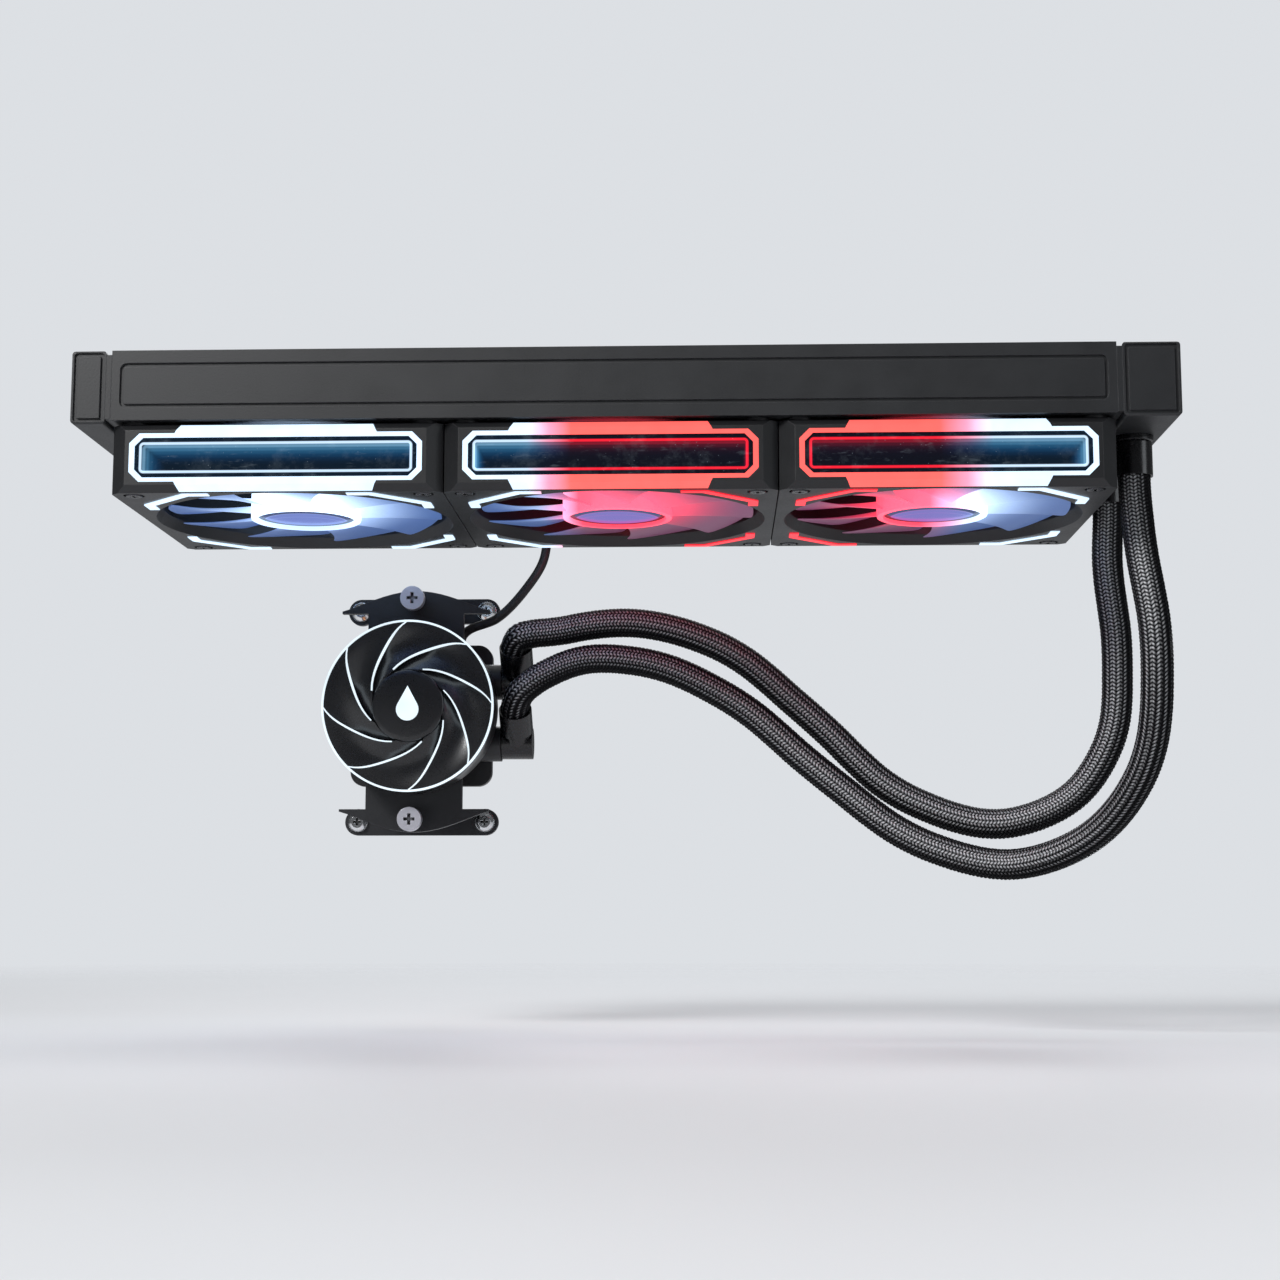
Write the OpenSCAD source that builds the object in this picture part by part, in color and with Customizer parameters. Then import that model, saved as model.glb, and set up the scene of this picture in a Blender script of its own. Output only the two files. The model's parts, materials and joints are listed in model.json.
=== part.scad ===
// Closed-loop liquid cooler: a radiator for three fans, three lit fans, two braided hoses and a pump head.
// Millimetres, +Z up. The origin is the centre of the middle group of case screw holes, on the
// radiator's top face. The fans hang below the radiator, and the pump head's cover faces -Y.

/* [Radiator] */
// Thickness of the radiator
rad_h = 27; // [26:0.5:30]
// Length of the end tank that turns the coolant round
return_tank_len = 14.5; // [12:0.5:18]
// Length of the end tank that holds the hose ports
port_tank_len = 22.5; // [21:0.5:28]
// Number of flat coolant tubes
tube_count = 12; // [10:1:13]
// Thickness of one flat tube
tube_t = 2; // [1.6:0.1:2.4]
// Length of one full fold of a fin strip
fin_pitch = 6; // [5:0.5:9]
// Sheet thickness of the side rails
sheet_t = 1.2; // [1:0.1:1.4]
// Distance between the two hose ports
port_spacing = 52; // [44:1:60]

/* [Fans] */
// Outside size of one fan, which is also the radiator's width
fan_size = 120; // [119:0.5:121]
// Thickness of one fan
fan_t = 25; // [24.5:0.5:27]
// Distance between the screw holes on one side of a fan
hole_pitch = 105; // [104:0.5:105.5]
// Radius of the fan's duct
duct_r = 54; // [53.5:0.5:54.5]
// Radius of the rotor over its blade tips
rotor_r = 52; // [48:0.5:52.5]
// Number of blades
blade_count = 9; // [7:1:11]
// Radius of the rotor's hub
hub_r = 21; // [20.5:0.5:23]

/* [Hoses] */
// Outside radius of the braided sleeve
hose_r = 6; // [5.8:0.1:6]
// Bore radius of the rubber tube
hose_bore_r = 3.5; // [3.5:0.1:4]
// Sides of the hose's cross-section
hose_sides = 14; // [12:1:16]

/* [Pump head] */
// Place of the pump head's axis along X
pump_x = -87.5; // [-100:0.5:-87.5]
// Height of the pump head's axis
pump_z = -117.5; // [-120:0.5:-115]
// Place along Y of the cold plate's contact face
pump_y = 103; // [100:0.5:106]
// Radius of the round cover
cover_r = 35; // [34.5:0.5:35]
// Distance across the four mounting studs along X
stud_pitch_x = 54; // [52:0.5:56]
// Distance between the four mounting studs along Z
stud_pitch_z = 90; // [88:0.5:92]
// Number of curved lines on the cover
swirl_count = 8; // [6:1:10]

/* [Hidden] */
$fn = 64;
eps = 0.01;

fan_x = [-fan_size, 0, fan_size];
core_half = 1.5 * fan_size;
half_w = fan_size / 2;
hole_half = hole_pitch / 2;
header_t = 2;
core_margin = 3.5;
core_h = rad_h - 2 * core_margin;
core_in_half = half_w - sheet_t;
tube_gap = (2 * core_in_half - tube_count * tube_t) / (tube_count + 1);
flange_w = 12.5;
case_hole_r = 1.5;
fan_hole_r = 1.75;
groove_depth = 0.8;
rail_gap = 1.2;
case_boss_h = core_margin - sheet_t - 0.1;
fan_boss_h = case_boss_h - rail_gap;
rail_h = rad_h - rail_gap;
tank_wall = 2;
port_x = core_half + header_t + port_tank_len / 2 - 1.5;
port_flange_t = 2.5;
plug_y = half_w - 18;
hose_top = -rad_h - port_flange_t;
port_lead = 14;

fan_z = -rad_h - fan_t;
fan_gap = 0.2;
side_recess = 2.4;
light_t = 2.2;
screw_head_h = 1.8;
screw_head_out = 0.4;
hub_cap_r = 18.6;
hub_wall = 1.6;
hub_face = 0.6;
cap_seat = 3.4;
hub_roof = 4.6;
hub_end = 19;
cap_t = 1.4;
shaft_r = 1.5;
running_gap = 0.03;
blade_chord = 39;
blade_rise_hub = 5.2;
blade_rise_tip = 3.2;

tube_r = hose_r - 0.6;
sleeve_gap = 0.02;
barb_r = 3.38;
collar_r = 6.8;
collar_bore_r = 6.05;
fluid_r = 2.6;

elbow_x = 42;
elbow_y = 13;
elbow_z = 18;
elbow_tilt = 45;
elbow_start = 7.6;
elbow_lead = 12;
spring_screw_y = 45.5;
bracket_z = 26;
bracket_t = 3;
cover_z = 31;
cover_h = 20;
swirl_in_r = 15.9;
swirl_out_r = cover_r - 0.8;
swirl_sweep = 66;
light_depth = 1.2;

// ---- Shared shapes ----

// A rectangle with round corners, centred.
module round_rect(w, h, r) {
  square([w - 2 * r, h], center = true);
  square([w, h - 2 * r], center = true);
  for (x = [-1, 1], y = [-1, 1])
    translate([x * (w / 2 - r), y * (h / 2 - r)]) circle(r = r);
}

// A rectangle with cut corners, centred.
module cut_rect(w, h, c) {
  polygon([
    [-w / 2 + c, -h / 2], [w / 2 - c, -h / 2], [w / 2, -h / 2 + c], [w / 2, h / 2 - c],
    [w / 2 - c, h / 2], [-w / 2 + c, h / 2], [-w / 2, h / 2 - c], [-w / 2, -h / 2 + c]
  ]);
}

// Extrudes a drawing made in X and Z towards -Y, from the plane y.
module toward_near(y, depth) {
  translate([0, y, 0]) rotate([90, 0, 0]) linear_extrude(depth) children();
}

// Extrudes a drawing made in Y and Z towards +X, from the plane x.
module toward_right(x, depth) {
  translate([x, 0, 0]) rotate([90, 0, 90]) linear_extrude(depth) children();
}

module ring(r_out, r_in, h) {
  difference() {
    cylinder(r = r_out, h = h);
    translate([0, 0, -1]) cylinder(r = r_in, h = h + 2);
  }
}

module at_screws() {
  for (x = [-hole_half, hole_half], y = [-hole_half, hole_half]) translate([x, y, 0]) children();
}

module near_and_far() {
  children();
  mirror([0, 1, 0]) children();
}

// A cross-shaped recess for a screwdriver, cut downwards from z.
module cross_recess(z, size, depth) {
  arm_w = size / 3.6;
  for (a = [0, 90]) rotate([0, 0, a]) translate([-size / 2, -arm_w / 2, z - depth])
    cube([size, arm_w, depth + 1]);
}

// ---- Smooth paths and tubes swept along them ----

function unit(v) = v / norm(v);

function hermite(p, q, m, n, t) =
  (2 * t ^ 3 - 3 * t ^ 2 + 1) * p + (t ^ 3 - 2 * t ^ 2 + t) * m
  + (3 * t ^ 2 - 2 * t ^ 3) * q + (t ^ 3 - t ^ 2) * n;

// The direction of travel at knot i, weighted so that short spans don't overshoot.
function knot_slope(k, i, first, last) =
  i == 0 ? first
  : i == len(k) - 1 ? last
  : let (a = k[i] - k[i - 1], b = k[i + 1] - k[i], u = norm(a), v = norm(b))
    (a / u * v + b / v * u) / (u + v);

// A smooth path through the knots, with a stated direction at each end.
function smooth_path(k, first, last, steps) = [
  for (i = [0:len(k) - 2], s = [0:steps - 1])
    let (d = norm(k[i + 1] - k[i]), m = knot_slope(k, i, first, last), n = knot_slope(k, i + 1, first, last))
    hermite(k[i], k[i + 1], d * m, d * n, s / steps),
  k[len(k) - 1]
];

function tangent(p, i) = unit(p[min(i + 1, len(p) - 1)] - p[max(i - 1, 0)]);

function across(t) = unit(cross(t, abs(t[2]) > 0.9 ? [1, 0, 0] : [0, 0, 1]));

// One normal per point, each carried over from the last so that the tube doesn't twist.
function normals(p) = [
  for (i = 0, n = across(tangent(p, 0)); i < len(p);
       i = i + 1, n = i < len(p) ? unit(n - (n * tangent(p, i)) * tangent(p, i)) : n)
    n
];

function ring_points(p, r, sides) = let (n = normals(p)) [
  for (i = [0:len(p) - 1])
    let (t = tangent(p, i), b = cross(t, n[i]))
    for (j = [0:sides - 1]) p[i] + r * (cos(360 * j / sides) * n[i] + sin(360 * j / sides) * b)
];

// The two triangles between rings i and i + 1 at side j. "inward" turns them over.
function wall(i, j, sides, first, inward) =
  let (
    a = first + i * sides + j, b = first + i * sides + (j + 1) % sides,
    c = b + sides, d = a + sides
  )
  inward ? [[a, b, c], [a, c, d]] : [[a, c, b], [a, d, c]];

// A tube along the path p. With r_in of 0 it is solid.
module sweep(p, r_out, r_in, sides) {
  rings = len(p);
  inner = rings * sides;
  last = (rings - 1) * sides;
  outer_wall = [for (i = [0:rings - 2], j = [0:sides - 1], f = wall(i, j, sides, 0, false)) f];
  inner_wall = [for (i = [0:rings - 2], j = [0:sides - 1], f = wall(i, j, sides, inner, true)) f];
  if (r_in > 0)
    polyhedron(
      points = concat(ring_points(p, r_out, sides), ring_points(p, r_in, sides)),
      faces = concat(
        outer_wall,
        inner_wall,
        [for (j = [0:sides - 1]) let (k = (j + 1) % sides)
          each [[j, k, inner + k], [j, inner + k, inner + j]]],
        [for (j = [0:sides - 1]) let (k = (j + 1) % sides, a = last, b = inner + last)
          each [[a + j, b + k, a + k], [a + j, b + j, b + k]]]
      )
    );
  else
    polyhedron(
      points = ring_points(p, r_out, sides),
      faces = concat(
        outer_wall,
        [[for (j = [0:sides - 1]) j]],
        [[for (j = [sides - 1:-1:0]) last + j]]
      )
    );
}

// ---- Radiator ----

module rail_plan() {
  translate([-core_half, -half_w]) square([2 * core_half, flange_w]);
}

module rail_boss(z, h) {
  for (f = fan_x, x = [-hole_half, hole_half])
    translate([f + x, -hole_half, z]) cylinder(r = 2.7, h = h);
}

// A groove of width g along the inside of a round-cornered rectangle.
module groove_outline(w, h, r, g) {
  difference() {
    round_rect(w, h, r);
    round_rect(w - 2 * g, h - 2 * g, r / 3);
  }
}

module near_rail() {
  end_margin = 3.1;
  edge_margin = 4.7;
  groove_w = 1.3;
  difference() {
    union() {
      translate([-core_half, -half_w, -rail_h]) cube([2 * core_half, sheet_t, rail_h]);
      translate([0, 0, -sheet_t]) linear_extrude(sheet_t) rail_plan();
      translate([0, 0, -rail_h]) linear_extrude(sheet_t) rail_plan();
      rail_boss(-sheet_t - case_boss_h, case_boss_h);
      rail_boss(-rail_h + sheet_t, fan_boss_h);
    }
    for (f = fan_x, x = [-hole_half, hole_half]) translate([f + x, -hole_half, 0]) {
      translate([0, 0, -rail_h / 2]) cylinder(r = case_hole_r, h = rail_h);
      translate([0, 0, -rail_h - 1]) cylinder(r = fan_hole_r, h = rail_h / 2);
    }
    toward_near(-half_w + groove_depth, 1) translate([0, -rail_h / 2])
      groove_outline(2 * (core_half - end_margin), rail_h - 2 * edge_margin, 2.5, groove_w);
  }
}

module side_rails() { color("#24262a") near_and_far() near_rail(); }

// The cross-section of one flat tube, drawn in Y and Z.
module tube_section(t, h) {
  square([t, h - t], center = true);
  for (s = [-1, 1]) translate([0, s * (h - t) / 2]) circle(d = t, $fn = 24);
}

function tube_y(i) = -core_in_half + tube_gap + tube_t / 2 + i * (tube_gap + tube_t);

// The plates are a little lower than the rails and tanks, which leaves a groove along both faces.
module header_plates() {
  inset = 1.6;
  color("#1d1f22") for (side = [0, 1]) mirror([side, 0, 0]) toward_right(core_half, header_t) difference() {
    translate([0, -rad_h / 2]) square([fan_size, rad_h - 2 * inset], center = true);
    for (i = [0:tube_count - 1]) translate([tube_y(i), -rad_h / 2]) tube_section(tube_t, core_h);
  }
}

module coolant_tubes() {
  tube_wall = 0.35;
  tube_half = core_half + header_t + 1;
  color("#2c2f33") toward_right(-tube_half, 2 * tube_half) for (i = [0:tube_count - 1])
    translate([tube_y(i), -rad_h / 2]) difference() {
      tube_section(tube_t, core_h);
      tube_section(tube_t - 2 * tube_wall, core_h - 2 * tube_wall);
    }
}

// One folded strip seen from above: a zigzag from x = -half to x = half in a gap g wide.
module fin_zigzag(half, g, t) {
  folds = floor(4 * half / fin_pitch);
  step = 2 * half / folds;
  function side(i) = (i % 2 == 0 ? -1 : 1) * (g - t) / 2;
  polygon(concat(
    [for (i = [0:folds]) [-half + i * step, side(i) + t / 2]],
    [for (i = [folds:-1:0]) [-half + i * step, side(i) - t / 2]]
  ));
}

module cooling_fins() {
  fin_t = 0.3;
  clear = 0.05;
  color("#33363a") for (i = [0:tube_count])
    translate([0, tube_y(i) - (tube_t + tube_gap) / 2, -core_margin - core_h + 0.5])
      linear_extrude(core_h - 1) fin_zigzag(core_half - 1, tube_gap - 2 * clear, fin_t);
}

// An end tank: a box open towards the core, with rounded edges and a groove round each long-side face.
module tank_shell(len) {
  x = core_half + header_t;
  length = len - header_t;
  rim = 0.8;
  groove_w = 1.3;
  difference() {
    intersection() {
      toward_right(x, length) translate([0, -rad_h / 2]) round_rect(fan_size, rad_h, 1);
      toward_near(half_w, fan_size) translate([x + length / 2, -rad_h / 2]) round_rect(length, rad_h, 1.5);
    }
    translate([x - 1, -half_w + tank_wall, -rad_h + tank_wall])
      cube([length - tank_wall + 1, fan_size - 2 * tank_wall, rad_h - 2 * tank_wall]);
    near_and_far() toward_near(-half_w + groove_depth, 1) translate([x + length / 2, -rad_h / 2])
      groove_outline(length - 2 * rim, rad_h - 2 * rim, 1.2, groove_w);
  }
}

module return_tank() { color("#1d1f22") mirror([1, 0, 0]) tank_shell(return_tank_len); }

module port_tank() {
  color("#1d1f22") difference() {
    union() {
      tank_shell(port_tank_len);
      translate([core_half + header_t + 1.5, -1, -rad_h + 1])
        cube([port_tank_len - header_t - 2.5, 2, rad_h - 2]);
    }
    for (y = [-port_spacing / 2, port_spacing / 2])
      translate([port_x, y, -rad_h - 1]) cylinder(r = 4.5, h = tank_wall + 2);
    translate([core_half + port_tank_len - tank_wall - 1, plug_y, -rad_h / 2])
      rotate([0, 90, 0]) cylinder(r = 4, h = tank_wall + 2);
  }
}

// A hose port: a flange under the tank, a stub through its floor and a barbed end below.
module hose_port() {
  barb_end = hose_top - port_lead + 1;
  color("#1a1b1d") rotate_extrude() polygon([
    [fluid_r, -rad_h + tank_wall + 1], [4.45, -rad_h + tank_wall + 1], [4.45, -rad_h - eps],
    [7.4, -rad_h - eps], [7.4, hose_top + 0.6], [6.4, hose_top + eps], [barb_r, hose_top + eps],
    [barb_r, barb_end + 2], [fluid_r + 0.3, barb_end], [fluid_r, barb_end]
  ]);
}

module hose_ports() {
  for (y = [-port_spacing / 2, port_spacing / 2]) translate([port_x, y, 0]) hose_port();
}

module fill_plug() {
  color("#3a3c40") translate([core_half + port_tank_len - tank_wall, plug_y, -rad_h / 2])
    rotate([0, 90, 0]) difference() {
      union() {
        cylinder(r = 3.9, h = tank_wall + 0.1);
        translate([0, 0, tank_wall + 0.02]) cylinder(r = 5.5, h = 1.2);
      }
      translate([0, 0, tank_wall]) cylinder(r = 2.3, h = 2, $fn = 6);
    }
}

// ---- Fans. Each is drawn about its own centre, with z = 0 on the face that takes air in. ----

// The fan's outer form: cut upright corners and bevelled long edges.
module fan_envelope() {
  w = half_w - fan_gap;
  bevel = 2.5;
  flat = w - 5.5;
  back = half_w - 5;
  intersection() {
    linear_extrude(fan_t) polygon([
      [-w, -back], [-flat, -half_w], [flat, -half_w], [w, -back],
      [w, back], [flat, half_w], [-flat, half_w], [-w, back]
    ]);
    toward_right(-half_w, fan_size) polygon([
      [-half_w + bevel, 0], [half_w - bevel, 0], [half_w, bevel], [half_w, fan_t - bevel],
      [half_w - bevel, fan_t], [-half_w + bevel, fan_t], [-half_w, fan_t - bevel], [-half_w, bevel]
    ]);
  }
}

// The lit outline on a fan's side, drawn in X and Z about the middle of that side.
module side_outline() {
  cut_rect(105.5, 17.7, 3.6);
  polygon([
    [-36.5, -8.8], [-34.1, -fan_t / 2 - 1], [34.1, -fan_t / 2 - 1], [36.5, -8.8],
    [36.5, 8.8], [34.1, fan_t / 2 + 1], [-34.1, fan_t / 2 + 1], [-36.5, 8.8]
  ]);
}

module side_window_outline() { cut_rect(101.7, 14.6, 3); }

// One angular light bar in the corner where x and y are both positive.
module corner_bar() {
  bar_w = 3.6;
  knees = [[25, 54.3], [33.4, 54.3], [51.3, 36.4], [51.3, 28]];
  for (i = [0:2]) {
    d = knees[i + 1] - knees[i];
    translate(knees[i]) rotate(atan2(d[1], d[0])) translate([0, -bar_w / 2]) square([norm(d), bar_w]);
  }
  for (i = [1, 2]) translate(knees[i]) circle(d = bar_w, $fn = 24);
}

module corner_bars(z, h) {
  for (mx = [0, 1], my = [0, 1]) mirror([mx, 0, 0]) mirror([0, my, 0])
    translate([0, 0, z]) linear_extrude(h) corner_bar();
}

module fan_frame() {
  strut_z = fan_t - 3.5;
  motor_r = hub_r + 2;
  color("#1b1c1f") difference() {
    union() {
      difference() {
        fan_envelope();
        translate([0, 0, -1]) cylinder(r = duct_r, h = fan_t + 2, $fn = 128);
        translate([0, 0, -eps]) cylinder(r1 = duct_r + 2.3, r2 = duct_r, h = 4, $fn = 128);
        translate([0, 0, 4]) linear_extrude(fan_t - 8) difference() {
          square([fan_size + 2, 92], center = true);
          circle(r = duct_r + 2.4, $fn = 128);
        }
      }
      translate([0, 0, strut_z]) cylinder(r = motor_r, h = fan_t - strut_z);
      for (a = [45:90:315]) rotate([0, 0, a]) translate([motor_r - 2, -2, strut_z])
        cube([duct_r - motor_r + 3, 4, 2.5]);
      translate([0, 0, 7]) cylinder(r = 4.6, h = strut_z - 6);
      at_screws() cylinder(r = 4.6, h = fan_t + rail_gap - eps);
    }
    at_screws() translate([0, 0, -1]) {
      cylinder(r = 2.2, h = fan_t + rail_gap + 2);
      cylinder(r = 3.8, h = screw_head_h + 1 - screw_head_out);
    }
    translate([0, 0, 6]) cylinder(r = 3.6, h = 15);
    near_and_far() toward_near(-half_w + side_recess, side_recess + 1)
      translate([0, fan_t / 2]) side_outline();
    corner_bars(-1, 2);
  }
}

// u runs from the hub to the tip, and v from the trailing edge to the leading edge.
function blade_angle(u, v) = (1 - u) * 6 + v * blade_chord + 10 * u ^ 2;
function blade_z(u, v) =
  2.2 + (1 - v) ^ 1.15 * (blade_rise_hub + (blade_rise_tip - blade_rise_hub) * u) + 0.6 * sin(180 * v);
function blade_point(u, v, lift) =
  let (r = hub_r - 0.8 + u * (rotor_r - hub_r + 0.8), a = blade_angle(u, v))
  [r * cos(a), r * sin(a), blade_z(u, v) + lift];

// One blade: a curved sheet with a top and a bottom skin, closed round its edge.
module blade() {
  nu = 5;
  nv = 5;
  half_t = 0.55;
  row = nv + 1;
  count = (nu + 1) * row;
  function at(i, j, s) = s * count + i * row + j;
  function quad(a, b, c, d) = [[a, b, c], [a, c, d]];
  polyhedron(
    points = [
      for (lift = [half_t, -half_t], i = [0:nu], j = [0:nv]) blade_point(i / nu, j / nv, lift)
    ],
    faces = concat(
      [for (i = [0:nu - 1], j = [0:nv - 1])
        each quad(at(i, j, 0), at(i, j + 1, 0), at(i + 1, j + 1, 0), at(i + 1, j, 0))],
      [for (i = [0:nu - 1], j = [0:nv - 1])
        each quad(at(i, j, 1), at(i + 1, j, 1), at(i + 1, j + 1, 1), at(i, j + 1, 1))],
      [for (i = [0:nu - 1]) each quad(at(i, 0, 0), at(i + 1, 0, 0), at(i + 1, 0, 1), at(i, 0, 1))],
      [for (i = [0:nu - 1]) each quad(at(i, nv, 0), at(i, nv, 1), at(i + 1, nv, 1), at(i + 1, nv, 0))],
      [for (j = [0:nv - 1]) each quad(at(0, j, 0), at(0, j, 1), at(0, j + 1, 1), at(0, j + 1, 0))],
      [for (j = [0:nv - 1]) each quad(at(nu, j, 0), at(nu, j + 1, 0), at(nu, j + 1, 1), at(nu, j, 1))]
    )
  );
}

module fan_rotor() {
  roof = hub_roof - cap_seat;
  color("#dfe6f2") {
    difference() {
      translate([0, 0, hub_face]) cylinder(r = hub_r, h = hub_end - hub_face);
      translate([0, 0, hub_roof]) cylinder(r = hub_r - hub_wall, h = 20);
      translate([0, 0, hub_face - 1]) cylinder(r = hub_cap_r, h = cap_seat - hub_face + 1);
    }
    translate([0, 0, cap_seat + roof / 2]) ring(3.4, shaft_r, roof / 2 + 1.3);
    for (i = [0:blade_count - 1]) rotate([0, 0, i * 360 / blade_count]) blade();
  }
}

module fan_hub_cap() {
  color("#101826") translate([0, 0, cap_seat - cap_t]) cylinder(r = hub_cap_r - 0.1, h = cap_t);
}

module fan_magnet_ring() {
  color("#4a4d52") translate([0, 0, 6]) ring(hub_r - hub_wall, hub_r - hub_wall - 2, 12);
}

module fan_shaft() {
  color("#c8ccd2") translate([0, 0, hub_roof]) cylinder(r = shaft_r, h = 20.2 - hub_roof);
}

module fan_bearing() { color("#b08a4a") translate([0, 0, 7.2]) ring(3.6, shaft_r + running_gap, 13.6); }

// Four wound poles on a common core, round the bearing tube.
module fan_stator() {
  color("#a8683a") translate([0, 0, 8]) {
    ring(8, 4.65, 8);
    for (a = [0:90:270]) rotate([0, 0, a]) {
      translate([7.5, -2.2, 1]) cube([6, 4.4, 6]);
      intersection() {
        translate([0, 0, 0.5]) ring(16.4, 13.4, 7);
        translate([12, -8, 0]) cube([6, 16, 8]);
      }
    }
  }
}

module fan_board() { color("#1f5a3a") translate([0, 0, 18.6]) ring(16.5, 4.7, 1.4); }

module fan_side_light() {
  near_and_far() intersection() {
    fan_envelope();
    toward_near(-half_w + light_t, light_t + 1) translate([0, fan_t / 2]) difference() {
      side_outline();
      side_window_outline();
    }
  }
}

module fan_mirror_window() {
  near_and_far() toward_near(-half_w + light_t, light_t - 0.5)
    translate([0, fan_t / 2]) side_window_outline();
}

module on_fan(i) { translate([fan_x[i], 0, fan_z]) children(); }

module on_each_fan() { for (i = [0:2]) on_fan(i) children(); }

module fan_screw() {
  color("#2a2b2e") difference() {
    union() {
      translate([0, 0, -screw_head_out]) cylinder(r1 = 2.8, r2 = 3.6, h = screw_head_h - eps);
      translate([0, 0, 0.5]) cylinder(r = 1.45, h = fan_t + core_margin - 0.7);
    }
    cross_recess(0.6, 3.2, 2);
  }
}

module fan_cable() {
  start = [-fan_size + 20, half_w + 0.3, fan_z + 11];
  knots = [start, start + [-10, 5.5, 1], start + [-40, 7, 2.5], start + [-62, 7, 3]];
  color("#17181a") {
    sweep(smooth_path(knots, [0, 1, 0], [-1, 0, 0], 6), 1.6, 0, 10);
    translate(start + [-74, 4, -1.5]) cube([12.5, 6, 9]);
  }
}

// ---- Hoses ----

function pump_point(p) = [pump_x + p[0], pump_y - p[2], pump_z + p[1]];

// A point along the outlet of the elbow on side s (1 upper, -1 lower), d away from its centre.
function elbow_point(s, d) =
  pump_point([elbow_x, s * elbow_y + d * sin(elbow_tilt), elbow_z + d * cos(elbow_tilt)]);

into_elbow = [0, cos(elbow_tilt), -sin(elbow_tilt)];

near_knots = [
  [192.5, -28, -64], [197, -30, -105], [194.5, -12, -149], [178, 11, -173], [151, 29, -182.5],
  [118, 39, -174], [79, 47, -145.5], [44, 52, -116], [9, 57, -100], [-22, 62, -99.5]
];
far_knots = [
  [190.8, 25.5, -64], [193.2, 24, -102], [190, 28, -135], [177.5, 35, -155], [152, 41.5, -166],
  [112, 48.5, -155], [75.5, 53, -122.5], [41, 56, -94.5], [5, 58.5, -83.5], [-25, 64, -85.5]
];

// A hose leaves its port straight down, passes its knots and ends straight in its elbow.
function hose_path(y, knots, s) = concat(
  [[port_x, y, hose_top]],
  smooth_path(
    concat([[port_x, y, hose_top - port_lead]], knots, [elbow_point(s, elbow_start + elbow_lead)]),
    [0, 0, -1], into_elbow, 4
  ),
  [elbow_point(s, elbow_start)]
);

near_path = hose_path(-port_spacing / 2, near_knots, -1);
far_path = hose_path(port_spacing / 2, far_knots, 1);

module near_hose_tube() { color("#141414") sweep(near_path, tube_r, hose_bore_r, hose_sides); }
module near_hose_sleeve() { color("#2a2b2d") sweep(near_path, hose_r, tube_r + sleeve_gap, hose_sides); }
module far_hose_tube() { color("#141414") sweep(far_path, tube_r, hose_bore_r, hose_sides); }
module far_hose_sleeve() { color("#2a2b2d") sweep(far_path, hose_r, tube_r + sleeve_gap, hose_sides); }

module radiator_collars() {
  color("#0e0e10") for (y = [-port_spacing / 2, port_spacing / 2])
    translate([port_x, y, hose_top - 12.5]) ring(collar_r, collar_bore_r, 12.4);
}

// ---- Pump head. Drawn with z = 0 on the cold plate's contact face and z up towards the cover. ----

module on_pump() { translate([pump_x, pump_y, pump_z]) rotate([90, 0, 0]) children(); }

module on_elbow(s) { on_pump() translate([elbow_x, s * elbow_y, elbow_z]) children(); }

// An elbow that turns in the housing about its X axis and carries the hose on a barb.
module elbow() {
  color("#161719") difference() {
    union() {
      rotate([0, 90, 0]) translate([0, 0, -14]) cylinder(r = 5, h = 14);
      rotate([0, 90, 0]) translate([0, 0, -6.4]) cylinder(r = 6.5, h = 12.8);
      rotate([-elbow_tilt, 0, 0]) cylinder(r = barb_r, h = 18);
      rotate([-elbow_tilt, 0, 0]) cylinder(r = 5.8, h = elbow_start - 0.1);
    }
    rotate([0, 90, 0]) translate([0, 0, -15]) cylinder(r = fluid_r + 0.4, h = 18.6);
    rotate([-elbow_tilt, 0, 0]) cylinder(r = fluid_r - 0.1, h = 19);
  }
}

module elbow_collar() {
  color("#0e0e10") rotate([-elbow_tilt, 0, 0]) translate([0, 0, elbow_start])
    ring(collar_r, collar_bore_r, 11);
}

module cold_plate() {
  fin_count = 20;
  fin_field = 28;
  color("#b87346") on_pump() {
    linear_extrude(3) round_rect(54, 54, 4);
    for (i = [0:fin_count - 1])
      translate([-fin_field / 2 + i * fin_field / (fin_count - 1) - 0.25, -fin_field / 2, 2.9])
        cube([0.5, fin_field, 2.6]);
  }
}

module plate_seal() {
  color("#101010") on_pump() translate([0, 0, 3 + eps]) ring(24.5, 22.5, 1.5);
}

module pump_base() {
  color("#17181a") on_pump() difference() {
    translate([0, 0, 3 + eps]) linear_extrude(5) round_rect(60, 60, 6);
    translate([0, 0, 2]) ring(24.6, 22.4, 2.6);
    translate([0, 0, 2]) cylinder(r = 20.5, h = 4.5);
    translate([0, 0, 2]) cylinder(r = 12, h = 8);
  }
}

module pump_housing() {
  color("#1a1b1e") on_pump() difference() {
    union() {
      translate([0, 0, 8 + 2 * eps]) cylinder(r = 32, h = bracket_z - 8 - 2 * eps);
      translate([0, 0, bracket_z - 1]) cylinder(r = 28.9, h = 15);
      for (s = [-1, 1]) translate([20, s * elbow_y, elbow_z]) rotate([0, 90, 0]) cylinder(r = 7.4, h = 15.3);
    }
    translate([0, 0, 7]) cylinder(r = 15, h = 12);
    translate([0, 0, 18]) cylinder(r = 9.6, h = 14);
    translate([0, 0, 22]) ring(25, 11.2, 20);
    for (s = [-1, 1]) translate([0, s * elbow_y, elbow_z]) rotate([0, 90, 0]) {
      translate([0, 0, 27]) cylinder(r = 5.05, h = 10);
      translate([0, 0, 5]) cylinder(r = fluid_r, h = 23);
    }
    translate([0, 0, 31]) cylinder(r = shaft_r + 0.02, h = 2.5);
  }
}

module impeller_shaft() { color("#e8e8ea") on_pump() translate([0, 0, 8.4]) cylinder(r = shaft_r, h = 25); }

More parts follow.
